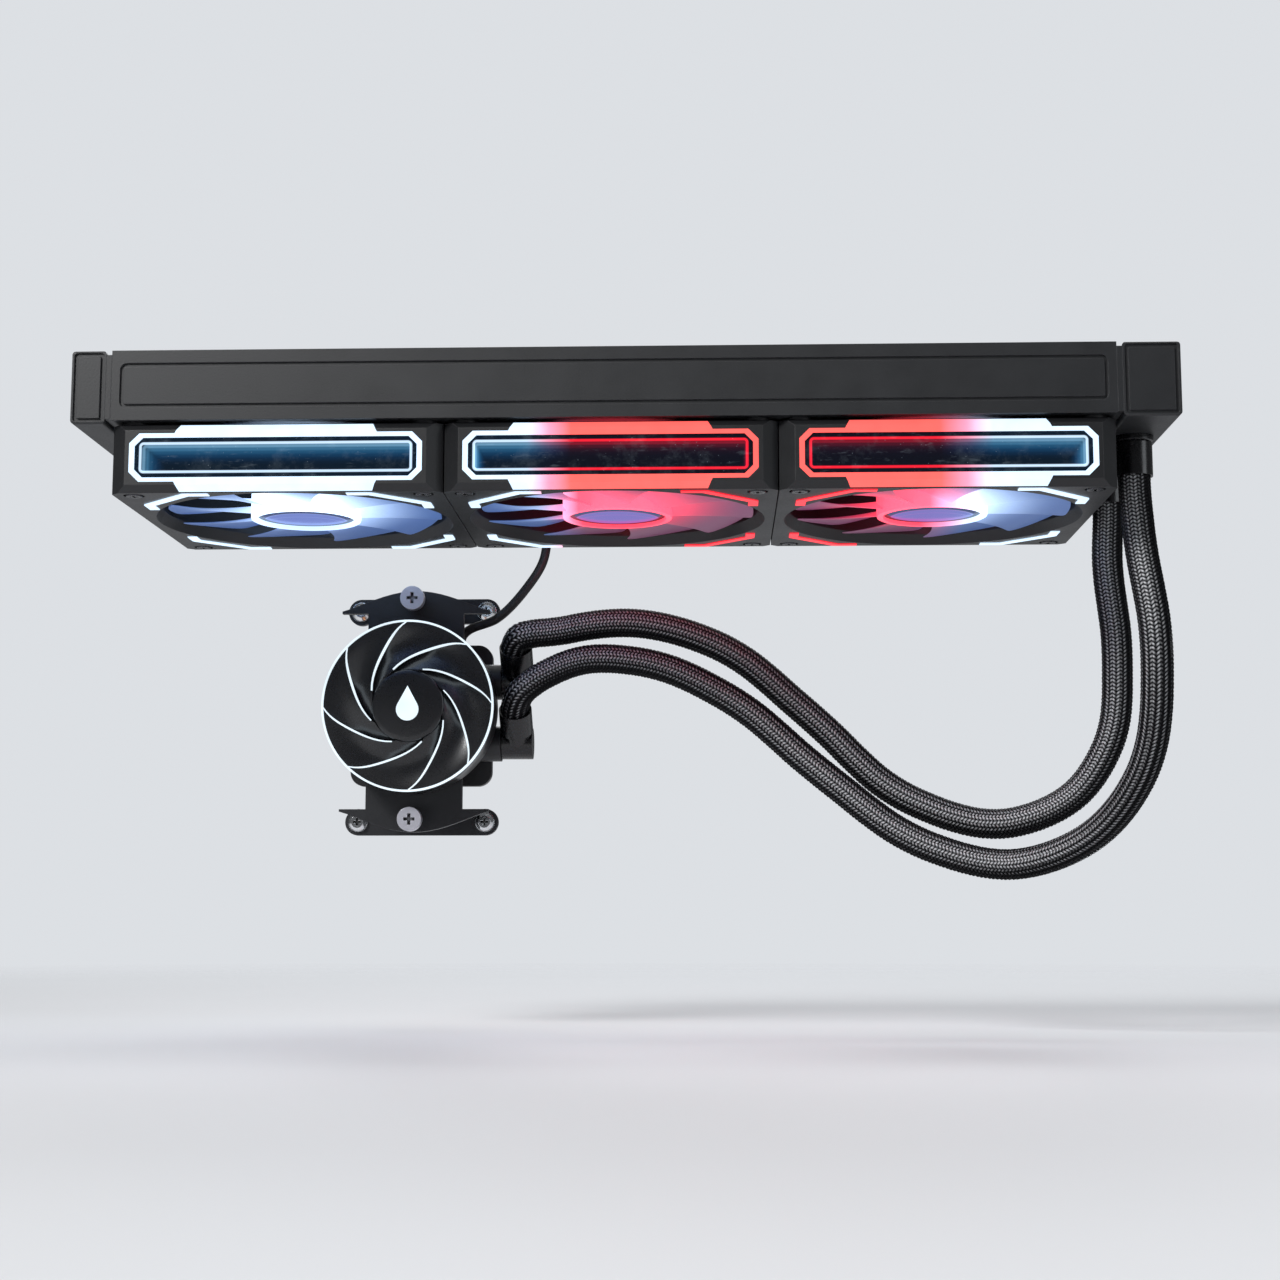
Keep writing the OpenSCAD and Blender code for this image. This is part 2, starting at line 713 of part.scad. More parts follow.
// A magnet drum above a disc with curved vanes, with a bore for the fixed shaft.
module impeller() {
  vane_count = 6;
  color("#e6e2d8") on_pump() difference() {
    union() {
      translate([0, 0, 14]) cylinder(r = 13.5, h = 2);
      translate([0, 0, 10]) cylinder(r = 4, h = 5);
      translate([0, 0, 15]) cylinder(r = 8.8, h = 15);
      for (i = [0:vane_count - 1]) rotate([0, 0, i * 360 / vane_count]) translate([3, -0.6, 10.5])
        cube([10, 1.2, 4]);
    }
    translate([0, 0, 9]) cylinder(r = shaft_r + 0.05, h = 23);
  }
}

module pump_stator() {
  color("#a8683a") on_pump() translate([0, 0, 22.2]) {
    ring(24.5, 21.5, 12);
    for (a = [0:60:300]) rotate([0, 0, a]) translate([11.8, -3, 2]) cube([10.2, 6, 8]);
  }
}

module pump_board() { color("#1f5a3a") on_pump() translate([0, 0, 41.2]) cylinder(r = 28, h = 1.4); }

// The arched outline of one end of the bracket, drawn above the pump's centre.
// A neck that starts inside the ring, and the arched wing that crosses its end.
module wing() {
  neck_half = 20;
  neck_start = 26;
  wing_half = 31;
  foot = 40.8;
  arch = 8.5;
  polygon(concat(
    [[wing_half, foot], [neck_half, foot], [neck_half, neck_start]],
    [[-neck_half, neck_start], [-neck_half, foot], [-wing_half, foot]],
    [for (a = [-90:10:90]) [wing_half * a / 90, foot + 1 + arch * cos(a) ^ 1.2]]
  ));
}

module pump_bracket() {
  color("#202226") on_pump() translate([0, 0, bracket_z]) difference() {
    union() {
      cylinder(r = 34, h = bracket_t, $fn = 96);
      for (a = [0, 180]) rotate([0, 0, a]) linear_extrude(bracket_t) wing();
    }
    translate([0, 0, -1]) cylinder(r = 28.95, h = bracket_t + 2);
    for (s = [-1, 1]) translate([0, s * spring_screw_y, -1]) cylinder(r = 2.3, h = bracket_t + 2);
  }
}

module pump_cover() {
  color("#1c1d20") on_pump() difference() {
    translate([0, 0, cover_z]) cylinder(r = cover_r, h = cover_h, $fn = 96);
    translate([0, 0, cover_z - 1]) cylinder(r = cover_r - 2, h = cover_h - 2);
    translate([0, 0, cover_z + cover_h - light_depth]) {
      swirl_lines(2, cover_r + 1);
      linear_extrude(2) emblem();
    }
  }
}

// The middle of a curved line. It leaves the rim at angle a, and turns fastest next to the hub.
function swirl_point(a, t) =
  let (
    r = swirl_out_r + (swirl_in_r - swirl_out_r) * t,
    turn = a + swirl_sweep * (0.76 * t - 0.74 * t ^ 2 + 0.98 * t ^ 3)
  )
  r * [cos(turn), sin(turn)];

// A lit ring round the rim and the curved lines that leave it. Each line is widest in its middle.
module swirl_lines(h, ring_out) {
  line_w = 0.8;
  steps = 16;
  ring(ring_out, swirl_out_r, h);
  for (i = [0:swirl_count - 1]) {
    mid = [for (s = [0:steps]) swirl_point(i * 360 / swirl_count + 1.5, s / steps)];
    side = [
      for (s = [0:steps])
        let (d = mid[min(s + 1, steps)] - mid[max(s - 1, 0)], swell = 0.55 + 0.45 * sin(180 * s / steps))
        unit([-d[1], d[0]]) * line_w * swell / 2
    ];
    linear_extrude(h) polygon(concat(mid + side, [for (s = [steps:-1:0]) mid[s] - side[s]]));
  }
}

// A plain water-drop outline.
module emblem() {
  drop_r = 4.6;
  tip = 9.6;
  touch = acos(drop_r / tip);
  translate([0, -1.6]) polygon(concat(
    [for (s = [0:16]) let (a = 90 + touch + s * (360 - 2 * touch) / 16) drop_r * [cos(a), sin(a)]],
    [[0, tip]]
  ));
}

module cover_light() {
  color("#eaf4ff") on_pump() translate([0, 0, cover_z + cover_h - light_depth]) swirl_lines(1.5, cover_r);
}

module cover_emblem() {
  color("#eaf4ff") on_pump() translate([0, 0, cover_z + cover_h - light_depth]) linear_extrude(1.4) emblem();
}

module mounting_bars() {
  color("#202226") on_pump() for (a = [0, 180]) rotate([0, 0, a]) translate([0, 0, 1])
    linear_extrude(3) difference() {
    union() {
      translate([-stud_pitch_x / 2, stud_pitch_z / 2 - 5]) square([stud_pitch_x, 10.6]);
      for (s = [-1, 1]) translate([s * stud_pitch_x / 2, stud_pitch_z / 2]) circle(r = 5.6);
    }
    for (s = [-1, 1]) translate([s * stud_pitch_x / 2, stud_pitch_z / 2]) circle(r = 2.1);
    translate([0, spring_screw_y]) circle(r = 2.05);
  }
}

module at_studs() {
  on_pump() for (x = [-1, 1], y = [-1, 1])
    translate([x * stud_pitch_x / 2, y * stud_pitch_z / 2, 0]) children();
}

module standoffs() {
  color("#8d9096") at_studs() {
    translate([0, 0, -13]) cylinder(r = 1.75, h = 7);
    translate([0, 0, -7]) cylinder(r = 4, h = 8 - eps);
    translate([0, 0, 0.5]) cylinder(r = 2, h = 5);
  }
}

module bar_nuts() {
  color("#c5c8cd") at_studs() difference() {
    union() {
      translate([0, 0, 4 + eps]) cylinder(r = 4.2, h = 1.2);
      translate([0, 0, 5]) cylinder(r1 = 4, r2 = 2.6, h = 2.4);
    }
    translate([0, 0, 3]) cylinder(r = 2.05, h = 2.6);
    cross_recess(7.4, 3.2, 1);
  }
}

// A captive screw: a deep head, and a long shank that ends in the mounting bar.
module spring_screw() {
  color("#7d8087") difference() {
    union() {
      translate([0, 0, 37.5]) cylinder(r = 4.9, h = 4.6);
      translate([0, 0, 36.6]) cylinder(r = 4.2, h = 1);
      translate([0, 0, 1.6]) cylinder(r = 2, h = 36);
      translate([0, 0, 18]) cylinder(r = 3.2, h = 0.8);
    }
    cross_recess(42.1, 4.6, 2.4);
  }
}

module spring_coil() {
  turns = 5;
  coil_r = 3.1;
  wire_r = 0.42;
  low = bracket_z + bracket_t + wire_r + 0.05;
  high = 36.6 - wire_r - 0.05;
  per_turn = 14;
  count = turns * per_turn;
  function coil_point(i) = let (a = 360 * i / per_turn)
    [coil_r * cos(a), coil_r * sin(a), low + (high - low) * i / count];
  color("#b9bcc2") sweep([for (i = [0:count]) coil_point(i)], wire_r, 0, 6);
}

module on_spring_screw(s) { on_pump() translate([0, s * spring_screw_y, 0]) children(); }

// The pump's lead leaves the housing's side behind the cover and ends in a plug.
module pump_cable() {
  away = [0.5, 0, 0.866];
  start = [pump_x, pump_y - 20, pump_z] + 32.3 * away;
  plug = [-38, 79, -42.5];
  knots = [start, start + 6 * away, [-54, 80, -78], [-42, 78, -66], [-35, 80, -54], plug + [5, 3, 0.5]];
  color("#17181a") {
    sweep(smooth_path(knots, away, [0, 0, 1], 4), 1.9, 0, 10);
    translate(plug) cube([10, 6, 12]);
  }
}

// ---- Nodes ----

side_rails();
header_plates();
coolant_tubes();
cooling_fins();
return_tank();
port_tank();
hose_ports();
fill_plug();
on_fan(0) fan_frame();  // fan_1_frame
on_fan(1) fan_frame();  // fan_2_frame
on_fan(2) fan_frame();  // fan_3_frame
on_fan(0) fan_rotor();  // fan_1_rotor
on_fan(1) fan_rotor();  // fan_2_rotor
on_fan(2) fan_rotor();  // fan_3_rotor
on_fan(0) fan_hub_cap();  // fan_1_hub_cap
on_fan(1) fan_hub_cap();  // fan_2_hub_cap
on_fan(2) fan_hub_cap();  // fan_3_hub_cap
on_fan(0) fan_magnet_ring();  // fan_1_magnet_ring
on_fan(1) fan_magnet_ring();  // fan_2_magnet_ring
on_fan(2) fan_magnet_ring();  // fan_3_magnet_ring
on_fan(0) fan_shaft();  // fan_1_shaft
on_fan(1) fan_shaft();  // fan_2_shaft
on_fan(2) fan_shaft();  // fan_3_shaft
on_each_fan() fan_bearing();  // fan_bearings
on_each_fan() fan_stator();  // fan_stators
on_each_fan() fan_board();  // fan_boards
color("#eaf4ff") on_each_fan() corner_bars(-0.3, 1.3);  // fan_corner_lights
color("#eaf4ff") on_each_fan() fan_side_light();  // fan_side_lights
color("#0c1420") on_each_fan() fan_mirror_window();  // fan_mirror_windows
on_each_fan() at_screws() fan_screw();  // fan_screws
fan_cable();
near_hose_tube();
near_hose_sleeve();
far_hose_tube();
far_hose_sleeve();
radiator_collars();
on_elbow(1) elbow_collar();  // upper_elbow_collar
on_elbow(-1) elbow_collar();  // lower_elbow_collar
on_elbow(1) elbow();  // upper_elbow
on_elbow(-1) elbow();  // lower_elbow
cold_plate();
plate_seal();
pump_base();
pump_housing();
pump_bracket();
impeller();
impeller_shaft();
pump_stator();
pump_board();
pump_cover();
cover_light();
cover_emblem();
mounting_bars();
standoffs();
bar_nuts();
on_spring_screw(1) spring_screw();  // upper_spring_screw
on_spring_screw(-1) spring_screw();  // lower_spring_screw
on_spring_screw(1) spring_coil();  // upper_spring
on_spring_screw(-1) spring_coil();  // lower_spring
pump_cable();
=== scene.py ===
"""The looks of a closed-loop liquid cooler: a radiator, three lit fans, two braided hoses and a pump head.

Everything is in metres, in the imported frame: +Z up out of the radiator, +X towards the hose ports and
+Y away from the viewer. Sizes inside the code are written in millimetres times MM.
"""
import json
import math

import bmesh
import bpy
import numpy as np
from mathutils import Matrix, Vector


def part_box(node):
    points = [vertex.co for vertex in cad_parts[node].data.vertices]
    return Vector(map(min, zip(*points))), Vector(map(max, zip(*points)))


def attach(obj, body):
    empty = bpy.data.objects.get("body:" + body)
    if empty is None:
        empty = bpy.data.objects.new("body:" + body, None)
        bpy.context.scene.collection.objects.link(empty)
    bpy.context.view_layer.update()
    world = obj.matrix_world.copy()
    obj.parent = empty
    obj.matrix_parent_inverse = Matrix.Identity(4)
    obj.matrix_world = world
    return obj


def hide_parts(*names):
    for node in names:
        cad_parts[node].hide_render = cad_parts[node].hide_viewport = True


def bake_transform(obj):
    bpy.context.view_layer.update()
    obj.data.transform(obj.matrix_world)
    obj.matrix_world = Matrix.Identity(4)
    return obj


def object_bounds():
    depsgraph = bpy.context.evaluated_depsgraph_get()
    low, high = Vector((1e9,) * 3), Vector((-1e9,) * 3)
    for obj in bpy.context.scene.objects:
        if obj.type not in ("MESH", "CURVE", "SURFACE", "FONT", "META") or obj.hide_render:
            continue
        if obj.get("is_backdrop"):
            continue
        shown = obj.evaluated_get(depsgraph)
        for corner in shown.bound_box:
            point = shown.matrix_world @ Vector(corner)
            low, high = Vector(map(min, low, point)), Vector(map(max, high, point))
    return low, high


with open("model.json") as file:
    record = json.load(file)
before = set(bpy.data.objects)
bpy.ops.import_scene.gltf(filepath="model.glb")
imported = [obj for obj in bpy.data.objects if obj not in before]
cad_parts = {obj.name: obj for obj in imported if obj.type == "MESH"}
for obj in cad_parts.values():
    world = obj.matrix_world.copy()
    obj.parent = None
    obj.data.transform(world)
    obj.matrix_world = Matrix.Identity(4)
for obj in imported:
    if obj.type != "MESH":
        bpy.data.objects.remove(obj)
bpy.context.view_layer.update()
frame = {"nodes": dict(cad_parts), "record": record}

MM = 0.001
ROOT = "cooler"
FAN_NAMES = ("fan_1", "fan_2", "fan_3")
FAN_PITCH = 120 * MM
HUB_R = 21 * MM
MERGE_STEP = 0.002 * MM

# The fans' lights, and the haze they leave in the frosted blades.
COOL_WHITE = (0.62, 0.80, 1.0)
LED_PINK = (1.0, 0.30, 0.45)
LED_RED = (1.0, 0.012, 0.03)
LED_CORAL = (1.0, 0.115, 0.10)
LED_BLUSH = (1.0, 0.05, 0.07)
HAZE_WHITE = (0.16, 0.36, 0.95)
HAZE_PINK = (0.42, 0.24, 0.72)
HAZE_RED = (0.50, 0.09, 0.27)

# The key lamp's place, and its direction, which the braid's painted highlight follows.
KEY_PLACE = (-0.9, -1.3, 0.9)
KEY_DIRECTION = tuple(Vector(KEY_PLACE).normalized())


# ---- Measured from the frame ----

def centre_of(node):
    low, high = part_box(node)
    return (low + high) / 2


def size_of(node):
    low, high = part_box(node)
    return high - low


COVER = centre_of("pump_cover")
COVER_R = size_of("pump_cover").x / 2
COVER_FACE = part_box("pump_cover")[0].y


# ---- Meshes ----

def mesh_piece(name, points, faces, material, smooth=True):
    """A new mesh object from points in metres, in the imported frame."""
    data = bpy.data.meshes.new(name)
    data.from_pydata([tuple(p) for p in points], [], [tuple(f) for f in faces])
    data.update()
    data.polygons.foreach_set("use_smooth", [smooth] * len(data.polygons))
    data.materials.append(material)
    piece = bpy.data.objects.new(name, data)
    bpy.context.scene.collection.objects.link(piece)
    return piece


def strip_faces(rows, columns, first=0, closed=False):
    """Quads over a grid whose points are stored row by row. closed joins the last column to the first."""
    faces = []
    for i in range(rows - 1):
        for j in range(columns if closed else columns - 1):
            k = (j + 1) % columns
            a = first + i * columns
            faces.append((a + j, a + k, a + columns + k, a + columns + j))
    return faces


def merged(node):
    """The CAD node's points with doubles merged, and its edges as index pairs."""
    data = frame["nodes"][node].data
    co = np.array([v.co for v in data.vertices])
    keys, where = np.unique(np.round(co / MERGE_STEP).astype(np.int64), axis=0, return_inverse=True)
    points = keys * MERGE_STEP
    where = where.ravel()
    edges = np.array([e.vertices[:] for e in data.edges])
    edges = where[edges]
    return points, edges[edges[:, 0] != edges[:, 1]]


def centreline(node, is_start):
    """The middle of a tube made of rings: from the ring whose points pass is_start, ring by ring along the edges."""
    points, edges = merged(node)
    neighbours = [[] for _ in points]
    for a, b in edges:
        neighbours[a].append(b)
        neighbours[b].append(a)
    layer = [i for i, p in enumerate(points) if is_start(p)]
    seen = set(layer)
    middles = []
    while layer:
        middles.append(points[layer].mean(axis=0))
        following = {b for a in layer for b in neighbours[a]} - seen
        seen |= following
        layer = sorted(following)
    return np.array(middles)


def smooth_line(knots, spacing):
    """A smooth line through the knots, with points about spacing apart."""
    knots = np.asarray(knots, float)
    spans = np.linalg.norm(np.diff(knots, axis=0), axis=1)
    slopes = np.zeros_like(knots)
    steps = np.diff(knots, axis=0) / spans[:, None]
    slopes[0], slopes[-1] = steps[0], steps[-1]
    weight = spans[1:, None]
    before = spans[:-1, None]
    slopes[1:-1] = (steps[:-1] * weight + steps[1:] * before) / (weight + before)
    fine = []
    for i, span in enumerate(spans):
        count = max(1, round(span / spacing))
        t = (np.arange(count) / count)[:, None]
        fine.append((2 * t**3 - 3 * t**2 + 1) * knots[i] + (t**3 - 2 * t**2 + t) * span * slopes[i]
                    + (3 * t**2 - 2 * t**3) * knots[i + 1] + (t**3 - t**2) * span * slopes[i + 1])
    fine.append(knots[-1:])
    return np.concatenate(fine)


class Path:
    """A smooth line with a length along it and two normals carried along without twist."""

    def __init__(self, knots, spacing):
        self.points = smooth_line(knots, spacing)
        step = np.gradient(self.points, axis=0)
        self.along = step / np.linalg.norm(step, axis=1)[:, None]
        self.length = np.concatenate([[0], np.cumsum(np.linalg.norm(np.diff(self.points, axis=0), axis=1))])
        normal = np.cross(self.along[0], (1, 0, 0) if abs(self.along[0][2]) > 0.9 else (0, 0, 1))
        normals = []
        for t in self.along:
            normal = normal - normal.dot(t) * t
            normal = normal / np.linalg.norm(normal)
            normals.append(normal)
        self.normal = np.array(normals)
        self.side = np.cross(self.along, self.normal)

    def around(self, angle, radius):
        """Points at an angle and a radius round each point of the line."""
        across, up = np.cos(angle) * radius, np.sin(angle) * radius
        return self.points + across[:, None] * self.normal + up[:, None] * self.side

    def outward(self, angle):
        """The unit directions away from the line at an angle."""
        return np.cos(angle)[:, None] * self.normal + np.sin(angle)[:, None] * self.side


def closed_loft(sections):
    """A closed solid through rings of points: each section is a loop with the same number of points."""
    count = len(sections[0])
    points = np.concatenate(sections)
    faces = strip_faces(len(sections), count, closed=True)
    last = (len(sections) - 1) * count
    faces.append(tuple(range(count - 1, -1, -1)))
    faces.append(tuple(last + j for j in range(count)))
    return points, faces


def tube(name, path, radius, material, sides):
    """A round bar along a path, closed at both ends."""
    angles = np.arange(sides) * 2 * math.pi / sides
    rings = np.stack([path.around(np.full(len(path.points), a), radius) for a in angles], axis=1)
    points, faces = closed_loft(rings)
    return mesh_piece(name, points, faces, material)


def lathe(profile, sides, centre):
    """A solid of revolution about +Z: profile is a closed outline of (radius, height) pairs."""
    angles = np.arange(sides) * 2 * math.pi / sides
    points = [(centre[0] + r * math.cos(a), centre[1] + r * math.sin(a), centre[2] + z)
              for a in angles for r, z in profile]
    faces = []
    count = len(profile)
    for i in range(sides):
        k = (i + 1) % sides
        for j in range(count):
            m = (j + 1) % count
            faces.append((i * count + j, i * count + m, k * count + m, k * count + j))
    return points, faces


def join_parts(name, parts, material, smooth_angle):
    """One piece from several (points, faces) parts, shaded smooth except across sharp edges."""
    points, faces = [], []
    for part_points, part_faces in parts:
        first = len(points)
        points.extend(map(tuple, part_points))
        faces.extend(tuple(first + i for i in face) for face in part_faces)
    piece = mesh_piece(name, points, faces, material)
    piece.data.set_sharp_from_angle(angle=math.radians(smooth_angle))
    return piece


def smooth_step(low, high, value):
    """0 below low, 1 above high, and an even curve between."""
    t = np.clip((value - low) / (high - low), 0, 1)
    return t * t * (3 - 2 * t)


def stand_in(piece, node, body=None):
    """Puts a piece in a CAD node's place, and on one body if one is given."""
    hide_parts(node)
    if body:
        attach(piece, body)


# ---- Materials ----

class Shader:
    """A material's node graph, built with short calls."""

    def __init__(self, name):
        self.material = bpy.data.materials.new(name)
        self.material.use_nodes = True
        self.nodes = self.material.node_tree.nodes
        self.links = self.material.node_tree.links
        self.nodes.clear()
        self.output = self.nodes.new("ShaderNodeOutputMaterial")

    def put(self, socket, value):
        if hasattr(value, "is_output"):
            self.links.new(value, socket)
        elif isinstance(value, tuple) and len(value) == 3 and socket.type == "RGBA":
            socket.default_value = (*value, 1.0)
        elif isinstance(value, float) and socket.type == "VECTOR":
            socket.default_value = (value, value, value)
        else:
            socket.default_value = value

    def add(self, kind, settings=None, **inputs):
        node = self.nodes.new("ShaderNode" + kind)
        for key, value in (settings or {}).items():
            setattr(node, key, value)
        for key, value in inputs.items():
            self.put(node.inputs[key.replace("_", " ")], value)
        return node

    def math(self, operation, *values):
        node = self.nodes.new("ShaderNodeMath")
        node.operation = operation
        for socket, value in zip(node.inputs, values):
            self.put(socket, value)
        return node.outputs[0]

    def vector(self, operation, *values):
        node = self.nodes.new("ShaderNodeVectorMath")
        node.operation = operation
        for socket, value in zip(node.inputs, values):
            self.put(socket, value)
        return node.outputs["Value" if operation in ("LENGTH", "DOT_PRODUCT") else "Vector"]

    def hypot(self, x, y):
        """The length of the flat vector (x, y)."""
        return self.math("SQRT", self.math("ADD", self.math("MULTIPLY", x, x), self.math("MULTIPLY", y, y)))

    def clamp(self, value):
        """value held between 0 and 1."""
        return self.math("MINIMUM", self.math("MAXIMUM", value, 0.0), 1.0)

    def split(self, vector):
        node = self.add("SeparateXYZ", Vector=vector)
        return node.outputs["X"], node.outputs["Y"], node.outputs["Z"]

    def join(self, x, y, z):
        return self.add("CombineXYZ", X=x, Y=y, Z=z).outputs["Vector"]

    def mix(self, share, a, b):
        node = self.nodes.new("ShaderNodeMix")
        node.data_type = "RGBA"
        self.put(node.inputs["Factor"], share)
        self.put(node.inputs[6], a)
        self.put(node.inputs[7], b)
        return node.outputs[2]

    def ramp(self, value, stops, smooth=False):
        """stops: (place, colour or grey level)."""
        node = self.nodes.new("ShaderNodeValToRGB")
        node.color_ramp.interpolation = "EASE" if smooth else "LINEAR"
        elements = node.color_ramp.elements
        while len(elements) < len(stops):
            elements.new(0.5)
        for element, (place, colour) in zip(elements, stops):
            element.position = place
            element.color = (*colour, 1.0) if isinstance(colour, tuple) else (colour, colour, colour, 1.0)
        self.put(node.inputs["Fac"], value)
        return node.outputs["Color"]

    def noise(self, scale, detail=3.0, where=None, roughness=0.55):
        node = self.add("TexNoise", Scale=scale, Detail=detail, Roughness=roughness)
        self.put(node.inputs["Vector"], where or self.add("TexCoord").outputs["Object"])
        return node.outputs["Fac"]

    def bump(self, height, strength, distance, normal=None):
        node = self.add("Bump", Height=height, Strength=strength, Distance=distance)
        if normal is not None:
            self.put(node.inputs["Normal"], normal)
        return node.outputs["Normal"]

    def layered(self, node, first, second):
        """Links two surfaces into a node that mixes or adds them."""
        sockets = [socket for socket in node.inputs if socket.type == "SHADER"]
        self.links.new(first, sockets[0])
        self.links.new(second, sockets[1])
        return node.outputs["Shader"]

    def finish(self, surface):
        self.links.new(surface, self.output.inputs["Surface"])
        return self.material


def edge_mask(shader, radius):
    """A rounded normal for sharp edges, and a mask that is 1 on those edges."""
    rounded = shader.add("Bevel", {"samples": 4}, Radius=radius).outputs["Normal"]
    true = shader.add("NewGeometry").outputs["Normal"]
    turned = shader.math("SUBTRACT", 1.0, shader.vector("DOT_PRODUCT", rounded, true))
    return rounded, shader.math("MINIMUM", shader.math("MULTIPLY", turned, 9.0), 1.0)


def hard_finish(name, colour, roughness, grain=1500.0, grain_depth=0.02, metal=0.0, edge=0.35 * MM,
                wear_and_glint_colour=None, wear_and_glint=0.35, mottling=0.25, coat=0.0):
    """Paint, moulded plastic or metal: colour variation, fine grain, rounded edges, and lighter patches along the
    edges that are partly rubbed finish and partly painted glint.
    """
    s = Shader(name)
    rounded, edges = edge_mask(s, edge)
    broad = s.noise(60.0, 4.0)
    fine = s.noise(grain, 2.0)
    dark = tuple(c * (1 - mottling) for c in colour)
    light = tuple(min(1.0, c * (1 + mottling)) for c in colour)
    base = s.mix(broad, dark, light)
    # Lighter patches along the edges: partly rubbed finish, partly a painted glint.
    scuff_and_glint = s.math("MULTIPLY", edges, s.math("MULTIPLY", s.noise(420.0, 3.0), wear_and_glint * 2))
    base = s.mix(scuff_and_glint, base, wear_and_glint_colour or tuple(min(1.0, c * 2.2 + 0.02) for c in colour))
    rough = s.math("ADD", s.math("MULTIPLY", s.math("SUBTRACT", fine, 0.5), 0.2),
                   s.math("ADD", s.math("MULTIPLY", s.math("SUBTRACT", broad, 0.5), 0.16), roughness))
    normal = s.bump(fine, 1.0, grain_depth * MM, rounded)
    bsdf = s.add("BsdfPrincipled", Base_Color=base, Metallic=metal, Roughness=rough, Normal=normal, Coat_Weight=coat,
                 Coat_Roughness=0.12)
    return s.finish(bsdf.outputs["BSDF"])


def brushed_finish(name, colour, roughness, stretch, wear_and_glint_colour=None, metal=1.0):
    """Machined metal with fine lines along one axis, painted shade in its recesses and lighter edges that are partly
    rubbed metal and partly painted glint. stretch holds the grain's scale along X, Y and Z.
    """
    s = Shader(name)
    rounded, edges = edge_mask(s, 0.25 * MM)
    where = s.vector("MULTIPLY", s.add("TexCoord").outputs["Object"], stretch)
    lines = s.noise(1.0, 3.0, where)
    base = s.mix(lines, tuple(c * 0.88 for c in colour), tuple(min(1.0, c * 1.1) for c in colour))
    # Lighter edges: partly rubbed metal, partly a painted glint.
    base = s.mix(s.math("MULTIPLY", edges, 0.4), base, wear_and_glint_colour or (0.85, 0.85, 0.86))
    # Painted shade: the colour goes nearly black in recesses and hollows, by ambient occlusion.
    recess_occlusion = s.add("AmbientOcclusion", {"samples": 6, "only_local": True}, Distance=1.5 * MM).outputs["AO"]
    base = s.mix(s.math("POWER", recess_occlusion, 3.0), tuple(c * 0.02 for c in colour), base)
    rough = s.math("ADD", s.math("MULTIPLY", lines, 0.14), roughness - 0.07)
    bsdf = s.add("BsdfPrincipled", Base_Color=base, Metallic=metal, Roughness=rough,
                 Normal=s.bump(lines, 0.4, 0.004 * MM, rounded))
    return s.finish(bsdf.outputs["BSDF"])


LIGHT_SPAN = 0.4


def led_colour(s, red=LED_RED, pink=LED_PINK, white=COOL_WHITE):
    """The colour of the fans' lights, which depends only on the place along the radiator, here in millimetres."""
    x = s.split(s.add("NewGeometry").outputs["Position"])[0]
    share = s.math("ADD", s.math("MULTIPLY", x, 1 / LIGHT_SPAN), 0.5)
    places = [(-30, white), (-22, pink), (-14, red), (117, red), (127, pink), (136, white)]
    return s.ramp(share, [(mm * MM / LIGHT_SPAN + 0.5, colour) for mm, colour in places])


def fan_polar(s):
    """Place relative to the nearest fan's axis: x, y, and distance from the axis in millimetres."""
    x, y, _ = s.split(s.add("NewGeometry").outputs["Position"])
    index = s.math("ROUND", s.math("MULTIPLY", x, 1 / FAN_PITCH))
    local = s.math("MULTIPLY", s.math("SUBTRACT", x, s.math("MULTIPLY", index, FAN_PITCH)), 1 / MM)
    y = s.math("MULTIPLY", y, 1 / MM)
    return local, y, s.hypot(local, y)


def light_guide(name, seen, cast, colour=None, red=LED_RED):
    """A lit diffuser, dappled by the lamps behind. It casts more light than the camera sees, to keep its colour."""
    s = Shader(name)
    dapple = s.math("ADD", s.math("MULTIPLY", s.noise(130.0, 1.0), 0.3), 0.85)
    direct = s.add("LightPath").outputs["Is Camera Ray"]
    colour = colour or s.mix(direct, led_colour(s), led_colour(s, red))
    strength = s.math("ADD", s.math("MULTIPLY", direct, seen - cast), cast)
    # Painted light: the base colour is the lamps' colour at a quarter strength.
    bsdf = s.add("BsdfPrincipled", Base_Color=s.mix(0.75, colour, (0.0, 0.0, 0.0)), Roughness=0.3)
    s.put(bsdf.inputs["Emission Color"], colour)
    s.put(bsdf.inputs["Emission Strength"], s.math("MULTIPLY", dapple, strength))
    return s.finish(bsdf.outputs["BSDF"])


BLADE_SPAN = 33
HUB_GLOW = 0.9
VEIL = 0.35


